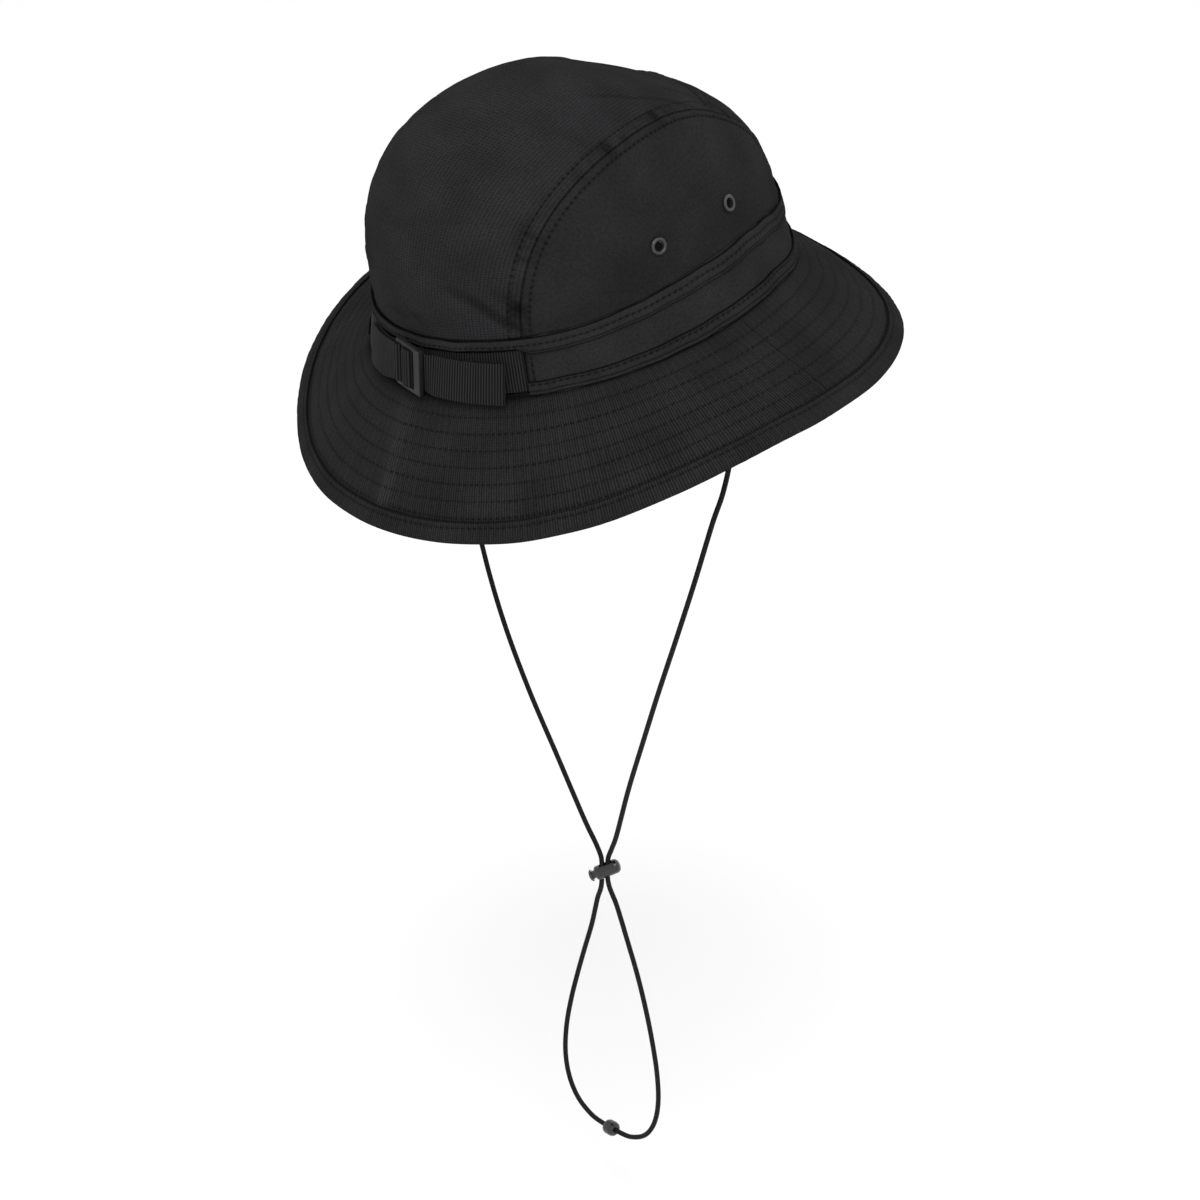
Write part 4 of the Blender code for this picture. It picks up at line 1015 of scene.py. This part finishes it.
def build_crown():
    build_middle_panels()
    for name, side in (("right", -1.0), ("left", 1.0)):
        build_side_panel(name, side)
    lines = []
    y = np.linspace(MIDDLE_ENDS_Y[0] - 0.004, MIDDLE_ENDS_Y[1] + 0.004, 700)
    for side in (-1.0, 1.0):
        for away, row in ((-1.0, ROWS_FROM_SEAM["middle"]), (1.0, ROWS_FROM_SEAM["side"])):
            line_x, line_y = beside_seam(side * seam_x(y), y, (side * away, 0.0), row)
            lines.append(on_relief(line_x, line_y))
    for away, row in ((1.0, ROWS_FROM_SEAM["middle"]), (-1.0, ROWS_FROM_SEAM["side"])):
        inner = np.abs(cross_x) < seam_x(CROSS_SEAM_Y) - 0.075
        line_x, line_y = beside_seam(cross_x[inner], cross_y[inner], (0.0, away), row)
        lines.append(on_relief(line_x, line_y))
    add_stitches("crown_topstitching", lines)


build_crown()


# ---------------------------------------------------------------- band, welts, gusset and sweatband

def ring_phi(span, count):
    if span is None:
        return np.radians(np.linspace(0.0, 360.0, count, endpoint=False))
    return np.radians(np.linspace(*span, count))


def ring_closed(points):
    return np.concatenate([points, points[:1]])


def around_mm(phi):
    """Arc length round the band at phi, near enough for cloth."""
    return phi * 0.5 * (HALF_LENGTH + HALF_WIDTH)


def build_welt(name, span, edges, rows, folds, seed, node):
    """A folded strip sewn round the band; edges gives the lifts of its low and high edge at phi.

    rows are how far its stitching is below the high edge, and folds how far above the low edge the
    lines pressed into it are, where it is wide.
    """
    phi = ring_phi(span, 1000)
    low, high = edges(phi)
    t = fine_ends(np.linspace(0.0, 1.0, 34), 0.4)
    lift = mix(low[:, None], high[:, None], t[None])
    nearness = np.minimum(lift - low[:, None], high[:, None] - lift)
    along = around_mm(phi)[:, None] + 0.0 * lift
    relief = Relief(lift)
    for depth in rows:
        relief.stitched(lift - (high[:, None] - depth), along, 0.4, 0.55, 0.5)
    # The pressed lines get painted shade along their valleys.
    for height in folds:
        relief.line(lift - (low[:, None] + height), 0.32, 0.35, 0.5, (high - low > 5.0)[:, None])
    relief.hills(0.14, phi[:, None] * 90 / math.pi + 64, lift / 5.0, seed, 60)
    relief.hills(0.2, phi[:, None] * 25 / math.pi, lift / 9.0, seed + 1, 50)
    edge = np.clip(1.0 - nearness / 0.9, 0.0, 1.0)
    out = GAP + WELT_THICKNESS * np.sqrt(np.clip(1.0 - edge ** 2, 0.0, 1.0))
    out += relief.height * smooth_step(0.0, 1.2, nearness)
    # Painted shade towards both edges of the welt, where it folds against the band.
    shade = relief.shade * mix(0.1, 1.0, smooth_step(0.0, 0.8, nearness))
    shift = 0.35 * noise(phi[:, None] * 30 / math.pi, 0.0 * lift, seed + 2, 60)
    front = band_point(phi[:, None], lift + shift, out)
    back_lift = lift[:, [-1, 0]]
    back = band_point(phi[:, None], back_lift + shift[:, [0, -1]], GAP + 0.02)
    sections = np.concatenate([front, back], 1)
    uv_v = np.concatenate([lift, back_lift], 1)
    uv = np.stack([np.broadcast_to(along[:, :1], uv_v.shape), uv_v], -1)
    shade = np.concatenate([shade, shade[:, [-1, 0]]], 1)
    piece = swept(name, sections, uv, BAND_CLOTH, closed=span is None, shade=shade)
    worn(piece, node)
    lines = []
    for depth in rows:
        middle = high - depth
        at = np.array([np.interp(m, l, o) for m, l, o in zip(middle, lift, out)])
        points = band_point(phi, middle + shift[:, 0], at)
        normals = band_normal(phi)
        if span is None:
            points, normals = ring_closed(points), ring_closed(normals)
        lines.append((points, normals))
    return lines


def upper_welt_edges(phi):
    height = mix(4.4, 7.0, smooth_step(36.0, 41.0, from_back(phi)))
    top = 0.0 * phi + BAND_HEIGHT + 0.1
    return top - height, top


def lower_welt_edges(phi):
    return 0.0 * phi - 0.1, 0.0 * phi + 5.6


def build_band():
    phi = np.radians(np.linspace(BAND_END_DEG, 360.0 - BAND_END_DEG, 760))[:, None]
    lift = np.linspace(-0.8, BAND_HEIGHT + 0.4, 43)[None]
    phi, lift = np.broadcast_arrays(phi, lift)
    along = around_mm(phi)
    degrees = np.degrees(phi)
    from_end = np.minimum(degrees - BAND_END_DEG, 360.0 - BAND_END_DEG - degrees)
    from_end = np.radians(from_end) * BAND_END_RADIUS
    relief = Relief(lift)
    relief.hills(0.24, phi * 40 / math.pi, lift / 16.0, 61)
    relief.hills(0.12, phi * 110 / math.pi, lift / 9.0 + 3, 62)
    relief.hills(0.25, phi * 14 / math.pi, lift / 30.0 + 3, 63)
    relief.stitched(from_end - BAND_END_ROW, lift, 0.4, 0.7, 0.6)
    # A painted shade line along each end of the band.
    relief.line(from_end, 0.9, 0.0, 0.7)
    height = np.minimum(relief.height * smooth_step(0.0, 2.0, from_end), 0.24) - 0.05
    outer = band_point(phi, lift, height)
    inner = band_point(phi, lift, -1.2)
    uv = np.stack([along, lift], -1)
    piece = shell("hat_band_cloth", outer, inner, uv, BAND_CLOTH, shade=relief.shade)
    worn(piece, "hat_band")
    lines = []
    for end_deg, sign in ((BAND_END_DEG, 1.0), (360.0 - BAND_END_DEG, -1.0)):
        at = np.radians(end_deg) + sign * BAND_END_ROW / BAND_END_RADIUS + np.zeros(60)
        heights = np.linspace(5.8, 15.6, 60)
        lines.append((band_point(at, heights, -0.1), band_normal(at)))
    span = (BAND_END_DEG, 360.0 - BAND_END_DEG)
    lines += build_welt("crown_welt_cloth", None, upper_welt_edges, (3.1,), (1.2,), 71, "crown_welt")
    lines += build_welt("brim_welt_cloth", span, lower_welt_edges, (1.4,), (1.7,), 74, "brim_welt")
    add_stitches("band_stitching", lines)


def build_gusset():
    """The soft gathered cloth behind the adjuster."""
    end = BAND_END_DEG + 2.0
    phi = np.radians(np.linspace(-end, end, 262))[:, None]
    lift = np.linspace(-0.8, BAND_HEIGHT + 0.3, 40)[None]
    phi, lift = np.broadcast_arrays(phi, lift)
    along = around_mm(phi)
    relief = Relief(lift)
    relief.hills(0.75, along / 6.5 + 30 + 0.25 * np.sin(lift / 6.0), lift / 20.0, 81)
    relief.hills(0.3, along / 3.1 + 40, lift / 7.0, 82)
    inside = smooth_step(0.0, 5.0, lift) * smooth_step(0.0, 4.0, BAND_HEIGHT - lift)
    height = (relief.height - 0.2) * inside
    # Painted shade: dark all over, as the gusset sits in shade behind the adjuster, and darker in the
    # gathers' valleys.
    shade = 0.2 + 0.4 * smooth_step(-0.6, 0.5, relief.height)
    outer = band_point(phi, lift, -1.55 + np.clip(height, -0.6, 0.1))
    inner = band_point(phi, lift, -2.3)
    uv = np.stack([along, lift], -1)
    piece = shell("rear_gusset_cloth", outer, inner, uv, BAND_CLOTH, shade=shade)
    worn(piece, "rear_gusset")


def build_sweatband():
    phi = ring_phi(None, 420)[:, None]
    lift = np.linspace(0.6, 30.0, 49)[None]
    phi, lift = np.broadcast_arrays(phi, lift)
    along = around_mm(phi)
    relief = Relief(lift)
    for height in SWEATBAND_ROWS:
        relief.stitched(lift - height, along, 0.3, 0.6)
    relief.hills(0.18, phi * 60 / math.pi, lift / 12.0, 91, 60)
    swell = relief.height + 0.25 * np.sin(math.pi * lift / 30.0)
    inner = band_point(phi, lift, SWEATBAND_IN - swell)
    outer = band_point(phi, lift, -2.7)
    uv = np.stack([along, lift], -1)
    piece = shell("sweatband_cloth", inner[:, ::-1], outer[:, ::-1], uv[:, ::-1], LINING,
                  closed=True, shade=relief.shade[:, ::-1])
    worn(piece, "sweatband")
    ring = np.concatenate([phi[:, 0], phi[:1, 0] + 2 * math.pi])
    lines = [(band_point(ring, 0 * ring + height, SWEATBAND_IN), -band_normal(ring))
             for height in SWEATBAND_ROWS]
    add_stitches("sweatband_stitching", lines)


def build_tapes():
    """Cloth tapes that cover the arched seams inside."""
    for name, side in (("right", -1.0), ("left", 1.0)):
        s, t = grid(220, 13)
        y = mix(MIDDLE_ENDS_Y[0] - 0.02, MIDDLE_ENDS_Y[1] + 0.02, s)
        x = seam_x(y) + mix(-0.045, 0.045, t)
        reach = np.hypot(x, y)
        scale = np.minimum(1.0, 0.985 / reach)
        x, y = side * x * scale, y * scale
        base, normal = crown_point(x, y), crown_normal(x, y)
        swell = 0.22 * np.sin(math.pi * t) + 0.1 * noise(s * 70, t * 2.0, 95)
        outer = base - normal * 1.8
        inner = base - normal * (2.15 + swell)[..., None]
        uv = np.stack([s * 230.0, t * 8.0], -1)
        piece = shell("seam_tape_cloth_" + name, inner, outer, uv, LINING)
        worn(piece, "seam_tape_" + name)


build_band()
build_gusset()
build_sweatband()
build_tapes()


# ---------------------------------------------------------------- brim

def turn_from(phi, centre_deg):
    return (phi - math.radians(centre_deg) + math.pi) % (2 * math.pi) - math.pi


def brim_radius(along):
    return 96.0 + 0.75 * along


def brim_uv(phi, along):
    return np.stack([phi * 122.0, along], -1)


def top_face(relief_height):
    """How far out the brim's upper face is, with valleys that stay clear of the layer under it."""
    return np.maximum(relief_height - 0.12, -0.62)[..., None]


def under_face(relief_height):
    return (2.75 + np.maximum(relief_height, -0.5) * 0.9)[..., None]


def brim_relief(phi, along, seed):
    """The look of the rows of stitching that hold the brim's layers together."""
    round_it = phi * brim_radius(along)
    relief = Relief(phi)
    for number, row in enumerate(BRIM_ROWS):
        relief.stitched(along - row, round_it + number * 1.1, 0.28, 0.7, 0.3)
    between = np.sin(math.pi * (along - BRIM_ROWS[0]) / BRIM_ROW_STEP) ** 2
    relief.height = relief.height + 0.12 * between
    relief.hills(0.13 * (0.4 + 0.6 * between), phi * 100 / math.pi + 3, along / 8.5, seed)
    relief.hills(0.28, phi * 32 / math.pi, along / 22.0 + 2, seed + 1)
    relief.hills(0.35, phi * 9 / math.pi, along / 45.0 + 4, seed + 2, 18)
    return relief


def brim_top_relief(phi, along):
    relief = brim_relief(phi, along, 101)
    radius = brim_radius(along)
    for seam_deg, strength in ((0.0, 0.3), (BRIM_SIDE_SEAM_DEG, 0.45), (-BRIM_SIDE_SEAM_DEG, 0.45)):
        gap = turn_from(phi, seam_deg) * radius
        raised = 0.5 * strength * (1.0 - smooth_step(3.0, 5.5, np.abs(gap)))
        relief.height = relief.height + raised
        # Each seam's valley gets painted shade.
        relief.line(gap, 0.5, 0.6 * strength, 0.5 * strength)
    # A soft ridge at the back, painted lighter: a painted highlight.
    relief.line(turn_from(phi, 1.5) * radius, 4.5, -1.5, -0.3, smooth_step(0.0, 10.0, along))
    near_seam = np.exp(-(turn_from(phi, BRIM_SIDE_SEAM_DEG) * radius / 14.0) ** 2)
    relief.hills(0.45 * near_seam * np.exp(-along / 14.0), phi * 62 / math.pi, along / 14.0, 107)
    return relief


def brim_grid(span, columns, rows):
    if span is None:
        phi = np.linspace(0.0, 2 * math.pi, columns, endpoint=False)
    else:
        phi = np.radians(np.linspace(*span, columns))
    phi = phi[:, None] + np.zeros((1, rows))
    edge = brim_width(phi) - BRIM_LAYER_MARGIN
    along = mix(-1.2, edge, np.linspace(0.0, 1.0, rows)[None])
    return phi, along


def build_brim_top():
    seam = BRIM_SIDE_SEAM_DEG
    spans = {
        "rear_right": ((0.0, seam), 412),
        "front": ((seam, 360.0 - seam), 718),
        "rear_left": ((360.0 - seam, 360.0), 412),
    }
    for name, (span, columns) in spans.items():
        phi, along = brim_grid(span, columns, 106)
        normal = brim_normal(phi, along)
        relief = brim_top_relief(phi, along)
        from_edge = along - brim_width(phi)
        under_binding = smooth_step(-10.0, -8.8, from_edge)
        height = relief.height * (1.0 - under_binding) * smooth_step(0.0, 3.0, along)
        # Painted shade lines: along the binding's inner edge, round the brim's root, and wider at the back
        # under the adjuster.
        relief.line(from_edge + 9.4, 0.6, 0.0, 0.5)
        relief.line(along, 1.5, 0.0, 0.6)
        relief.line(along, 4.5, 0.0, 0.35, 1.0 - smooth_step(34.0, 44.0, from_back(phi)))
        base = brim_point(phi, along)
        outer = base + normal * top_face(height)
        inner = base - normal * 0.8
        piece = shell("brim_top_cloth_" + name, outer, inner, brim_uv(phi, along), BRIM_CLOTH,
                      shade=relief.shade)
        worn(piece, "brim_top_" + name)


def build_brim_under():
    phi, along = brim_grid(None, 759, 67)
    normal = brim_normal(phi, along)
    relief = brim_relief(phi, along, 111)
    height = relief.height * smooth_step(0.0, 3.0, along)
    height *= 1.0 - smooth_step(-10.5, -8.6, along - brim_width(phi))
    base = brim_point(phi, along)
    outer = base - normal * 2.0
    inner = base - normal * under_face(height)
    piece = shell("brim_under_cloth", inner[:, ::-1], outer[:, ::-1], brim_uv(phi, along)[:, ::-1],
                  BRIM_CLOTH, closed=True, shade=relief.shade[:, ::-1])
    worn(piece, "brim_under_layer")


def build_interlining():
    """The layer between the brim's two faces."""
    phi, along = brim_grid(None, 360, 22)
    normal = brim_normal(phi, along)
    base = brim_point(phi, along)
    piece = shell("brim_inner_layer", base - normal * 1.12, base - normal * 1.7, brim_uv(phi, along),
                  LINING, closed=True)
    worn(piece, "brim_interlining")


def build_binding():
    """The folded strip round the brim's edge, with its row of stitching."""
    stations = 1100
    phi = np.linspace(0.0, 2 * math.pi, stations, endpoint=False)
    top, bottom, thick = 0.9, -3.7, 0.6
    turn = np.linspace(math.pi / 2, -math.pi / 2, 11)
    radius = (top - bottom) / 2
    nose_along = np.cos(turn) * 1.6 - 1.6
    nose_out = np.sin(turn) * radius + (top + bottom) / 2
    leg = -BINDING_WIDTH + (BINDING_WIDTH - 1.6) * fine_ends(np.linspace(0.0, 1.0, 22), 0.5)
    leg = leg[:-1]
    lip = [-BINDING_WIDTH - 0.25]
    along = np.concatenate([lip, leg, nose_along, leg[::-1], lip])
    out = np.concatenate([[top - 0.35], 0 * leg + top, nose_out, 0 * leg + bottom, [bottom + 0.35]])
    face = np.concatenate([np.ones(22), np.sin(turn), -np.ones(22)])
    back_along = np.array([-BINDING_WIDTH, -0.8, -0.8, -BINDING_WIDTH])
    back_out = np.array([bottom + thick, bottom + thick, top - thick, top - thick])
    round_it = (phi * 140.0)[:, None]
    phi_grid = phi[:, None] + 0.0 * along[None]
    relief = Relief(phi_grid)
    relief.stitched(along[None] + HEM_ROW, round_it, 0.36, 0.6, 0.45)
    relief.hills(0.13, phi_grid * 160 / math.pi, along[None] / 6.0 + 5, 121)
    relief.hills(0.2, phi_grid * 30 / math.pi, along[None] / 14.0 + 5, 122, 60)
    edge = 0.45 * noise(phi[:, None] * 22 / math.pi, 0.0 * along[None], 123, 44)
    inner_edge = smooth_step(-BINDING_WIDTH - 0.3, -BINDING_WIDTH + 0.8, along)[None]
    height = relief.height * inner_edge
    # Painted shade towards the binding's inner edge, where it meets the brim.
    shade = relief.shade * (0.4 + 0.6 * inner_edge)
    width = brim_width(phi)[:, None]
    normal = brim_normal(phi, width[:, 0] - BRIM_LAYER_MARGIN)[:, None]

    def place(a, o):
        return brim_point(phi[:, None] + 0.0 * a, width + a) + normal * o[..., None]
    front = place(along[None] + edge * 0.5, out[None] + face[None] * height)
    back = place(back_along[None] + edge[:, :4] * 0.5, back_out[None] + 0.0 * phi[:, None])
    sections = np.concatenate([front, back], 1)
    v = np.concatenate([arc_length(np.stack([along, out, 0 * out], -1)), back_along])
    uv = np.stack(np.broadcast_arrays(round_it, v[None]), -1)
    shade = np.concatenate([shade, np.ones((stations, 4))], 1)
    piece = swept("brim_binding_cloth", sections, uv, BRIM_CLOTH, closed=True, shade=shade)
    worn(piece, "brim_edge_binding")
    lines = []
    hem = np.argmin(np.abs(along[:25] + HEM_ROW))
    for which, out_sign in ((hem, 1.0), (len(along) - 1 - hem, -1.0)):
        lines.append((ring_closed(front[:, which]), ring_closed(normal[:, 0] * out_sign)))
    return lines


def build_brim():
    build_brim_top()
    build_brim_under()
    build_interlining()
    lines = build_binding()
    ring = np.linspace(0.0, 2 * math.pi, 1400)
    for row in BRIM_ROWS:
        along = 0.0 * ring + row
        normal = brim_normal(ring, along)
        base = brim_point(ring, along)
        lines.append((base + normal * top_face(brim_top_relief(ring, along).height), normal))
        lines.append((base - normal * under_face(brim_relief(ring, along, 111).height), -normal))
    add_stitches("brim_stitching", lines)


build_brim()


# ---------------------------------------------------------------- webbing adjuster

def rolled(across, up, roll_deg):
    """Two directions square to each other, turned in their own plane."""
    roll = math.radians(roll_deg)
    return across * math.cos(roll) - up * math.sin(roll), up * math.cos(roll) + across * math.sin(roll)


def buckle_directions():
    """The buckle's own directions: along its length, up its bars and out of its face."""
    angle = math.radians(BUCKLE_FACING_DEG)
    level = np.array([-math.cos(angle), -math.sin(angle), 0.0])
    outwards = unit(np.array([-math.sin(angle), math.cos(angle), BAND_SLOPE - BUCKLE_DIP]))
    across, up = rolled(level, np.cross(outwards, level), BUCKLE_ROLL_DEG)
    return across, up, outwards


BUCKLE_PIVOT = band_point(math.radians(BUCKLE_PIVOT_DEG), BUCKLE_LIFT, BUCKLE_PIVOT_OUT)


def ring_station(phi_deg, out, lift, roll_deg=0.0):
    phi = np.array(math.radians(phi_deg))
    up = band_up(phi)
    return band_point(phi, lift, out), rolled(np.cross(up, band_normal(phi)), up, roll_deg)[1]


def buckle_station(along, out):
    direction, up, outwards = buckle_directions()
    return BUCKLE_PIVOT + direction * along + outwards * out, up


def finer(stations, step):
    """A smooth run of stations every `step` millimetres through the given ones."""
    points = np.array([p for p, _ in stations])
    ups = np.array([u for _, u in stations])
    ends = spline_ends(points)
    h = (np.arange(12) / 12.0)[:, None]
    fine, fine_up = [], []
    for n in range(len(points) - 1):
        before, here, there, after = ends[n:n + 4]
        size = np.linalg.norm(there - here)
        pull_in = unit(there - before) * size
        pull_out = unit(after - here) * size
        fine.append((2 * h ** 3 - 3 * h ** 2 + 1) * here + (h ** 3 - 2 * h ** 2 + h) * pull_in
                    + (3 * h ** 2 - 2 * h ** 3) * there + (h ** 3 - h ** 2) * pull_out)
        fine_up.append(mix(ups[n], ups[n + 1], h))
    fine = np.concatenate([*fine, points[-1:]])
    fine_up = np.concatenate([*fine_up, ups[-1:]])
    along = arc_length(fine)
    wanted = np.linspace(0.0, along[-1], int(along[-1] / step) + 1)
    return sampled(wanted, along, fine), unit(sampled(wanted, along, fine_up)), wanted


def webbing(name, stations, node, seed, hem=0.0):
    """Ribbed webbing swept through stations, doubled over for the last `hem` millimetres."""
    line, up, along = finer(stations, 0.2)
    tangent = unit(np.gradient(line, axis=0))
    face = unit(np.cross(up, tangent))
    columns = 12
    across = np.linspace(-1.0, 1.0, columns)
    edge_round = 1.0 - 0.3 * np.abs(across) ** 12
    half = WEBBING_THICKNESS / 2
    rib = 0.17 * np.cos(2 * math.pi * along / RIB_PITCH)[:, None]
    ends = smooth_step(0.0, 0.5, along) * smooth_step(0.0, 0.5, along[-1] - along)
    u, v = np.broadcast_arrays(along[:, None] / 9.0 + across[None] * 0.2, across[None] + 3.0)
    wobble = 0.12 * noise(u, v, seed)
    doubled = smooth_step(hem + 0.3, hem - 0.3, along[-1] - along) if hem else 0.0 * along
    thick = half + rib - 0.17 + 0.22 * doubled[:, None]
    thick = thick * edge_round[None] * (0.55 + 0.45 * ends[:, None])
    # Painted shade at both ends and at the hem's fold.
    dark = 0.65 * np.exp(-(along / 0.9) ** 2) + 0.65 * np.exp(-((along[-1] - along) / 0.7) ** 2)
    dark = dark + (0.6 * np.exp(-((along[-1] - along - hem) / 0.5) ** 2) if hem else 0.0)
    shade = np.repeat((1.0 - np.minimum(dark, 0.8))[:, None], 2 * columns, 1)
    selvedge = WEBBING_WIDTH / 2 + 0.6 * rib
    base = line[:, None] + up[:, None] * (across[None] * selvedge)[..., None]
    front = base + face[:, None] * (thick + wobble * 0.4)[..., None]
    back = base - face[:, None] * (thick - wobble * 0.4)[..., None]
    sections = np.concatenate([front, back[:, ::-1]], 1)
    v = np.concatenate([across * 9.0, across[::-1] * 9.0])
    uv = np.stack(np.broadcast_arrays(along[:, None], v[None]), -1)
    piece = swept(name, sections, uv, WEBBING, shade=shade)
    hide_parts(node)
    return piece


def build_adjuster():
    half = WEBBING_THICKNESS / 2
    clear = GAP + half
    wrap = BUCKLE_THICKNESS / 2 + clear
    steps = 9
    strap = [ring_station(mix(38.1, 7.2, n / steps), -half, mix(*STRAP_LIFT[::-1], n / steps))
             for n in range(steps + 1)]
    strap.append(buckle_station(8.4, -wrap - 1.2))
    piece = webbing("adjuster_strap_webbing", strap, "adjuster_strap", 131)
    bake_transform(piece)

    left, right = BUCKLE_BARS[1][0] - clear, BUCKLE_BARS[1][1] + clear
    route = (
        (7.2, -wrap - 1.0), (left + 1.5, -wrap - 0.7), (left + 0.4, -wrap), (left, -wrap + 0.9),
        (left, wrap - 0.8), (left + 0.3, wrap - 0.25), (left + 0.9, wrap), (right - 0.9, wrap),
        (right - 0.3, wrap - 0.25), (right, wrap - 0.8), (right + 0.15, -wrap + 1.1),
        (right + 0.7, -wrap + 0.15), (right + 1.8, -wrap - 0.05), (BUCKLE_BARS[2][1] + 0.6, -wrap - 0.1),
    )
    tail = [buckle_station(*place) for place in route]
    for n in range(8):
        out, lift, roll_deg = (mix(*span, n / 7) for span in (TAIL_OUT, TAIL_LIFT, TAIL_ROLL_DEG))
        tail.append(ring_station(mix(11.4, 32.7, n / 7), out, lift, roll_deg))
    piece = webbing("adjuster_tail_webbing", tail, "adjuster_strap_tail", 132, 13.0)
    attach(piece, "buckle")

    radius = BUCKLE_BARS[0][1] + clear + 0.2
    loop = []
    for n in range(6):
        out, lift = -half + LOOP_STANDS_OFF * (n / 5) ** 2, mix(*LOOP_LIFT, n / 5)
        loop.append(ring_station(mix(-38.1, -8.5, n / 5), out, lift, BUCKLE_ROLL_DEG * n / 5))
    for n in range(11):
        angle = math.radians(mix(-118.0, 118.0, n / 10))
        loop.append(buckle_station(radius * math.cos(angle), radius * math.sin(angle)))
    for n in range(4):
        out, lift = mix(*LOOP_RETURN_OUT, n / 3), mix(*LOOP_LIFT[::-1], n / 3)
        loop.append(ring_station(mix(-8.2, -22.0, n / 3), out, lift, BUCKLE_ROLL_DEG * (1.0 - n / 3)))
    piece = webbing("buckle_loop_webbing", loop, "buckle_loop", 133)
    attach(piece, "hat")


build_adjuster()


def build_anchors():
    """Folded webbing tabs inside the sides that hold the ends of the chin cord."""
    for name, sign in (("right", 1.0), ("left", -1.0)):
        phi = np.array(math.radians(97.0 * sign))
        up, out = band_up(phi), band_normal(phi)
        across = np.cross(up, out)
        middle = band_point(phi, (1.5 + 7.25) / side_rise(phi), -6.3)
        profile = [(1.1, 7.0), (1.1, 4.0), (1.1, -4.0), (1.0, -5.4), (0.6, -6.2), (0.0, -6.5),
                   (-0.6, -6.2), (-1.0, -5.4), (-1.1, -4.0), (-1.1, 4.0), (-1.1, 7.0)]
        stations = [(middle + out * o + up * u, across) for o, u in profile]
        line, side, along = finer(stations, 0.2)
        tangent = unit(np.gradient(line, axis=0))
        face = unit(np.cross(side, tangent))
        widths = np.linspace(-5.0, 5.0, 8)
        rib = 0.06 * np.cos(2 * math.pi * along / RIB_PITCH)
        thick = (0.5 + rib)[:, None, None]
        base = line[:, None] + side[:, None] * widths[None, :, None]
        front, back = base + face[:, None] * thick, base - face[:, None] * thick
        sections = np.concatenate([front, back[:, ::-1]], 1)
        v = np.concatenate([widths, widths[::-1]])
        uv = np.stack(np.broadcast_arrays(along[:, None], v[None]), -1)
        piece = swept("cord_tab_webbing_" + name, sections, uv, WEBBING)
        worn(piece, "cord_anchor_" + name)


build_anchors()


# ---------------------------------------------------------------- finishes on the hard pieces

def finish_cad(names, material):
    for name in names:
        mesh = NODES[name].data
        mesh.materials.clear()
        mesh.materials.append(material)


VENTS = [place + "_" + side for place in ("front", "rear") for side in ("left", "right")]
finish_cad([kind + vent for kind in ("eyelet_", "eyelet_washer_") for vent in VENTS], DARK_METAL)
finish_cad(["cord_lock_spring"], DARK_METAL)
finish_cad(["adjuster_buckle"], MATT_PLASTIC)
finish_cad(["cord_lock_body", "cord_lock_plunger", "cord_end_bead"], GLOSSY_PLASTIC)
finish_cad(["vent_screen_" + vent for vent in VENTS], SCREEN_MESH)


# ---------------------------------------------------------------- floor and light

def add_area_light(name, place, size, power):
    """A round lamp aimed at the middle of the hat."""
    data = bpy.data.lights.new(name, "AREA")
    data.shape = "DISK"
    data.size = size
    data.energy = power
    lamp = bpy.data.objects.new(name, data)
    lamp.location = place
    lamp.rotation_euler = (-Vector(place)).to_track_quat("-Z", "Y").to_euler()
    bpy.context.scene.collection.objects.link(lamp)


def add_stage():
    mesh = bpy.data.meshes.new("studio_floor")
    reach, level = 30.0, -0.475
    corners = [(x * reach, y * reach, level) for x, y in ((-1, -1), (1, -1), (1, 1), (-1, 1))]
    mesh.from_pydata(corners, [], [(0, 1, 2, 3)])
    floor = bpy.data.objects.new("studio_floor", mesh)
    bpy.context.scene.collection.objects.link(floor)
    material, _, shader = new_material("pale_floor")
    shader.inputs["Base Color"].default_value = (0.9, 0.9, 0.9, 1.0)
    shader.inputs["Roughness"].default_value = 1.0
    shader.inputs["Specular IOR Level"].default_value = 0.0
    mesh.materials.append(material)
    world = bpy.data.worlds.new("studio_world")
    world.use_nodes = True
    sky = world.node_tree.nodes["Background"]
    sky.inputs["Color"].default_value = (1.0, 1.0, 1.0, 1.0)
    sky.inputs["Strength"].default_value = 1.06
    bpy.context.scene.world = world
    bpy.context.scene.view_settings.view_transform = "Standard"
    add_area_light("key_softbox", (-0.9, 0.9, 1.9), 1.3, 16.0)
    add_area_light("side_softbox", (-1.6, 1.2, 0.8), 1.0, 5.0)


add_stage()
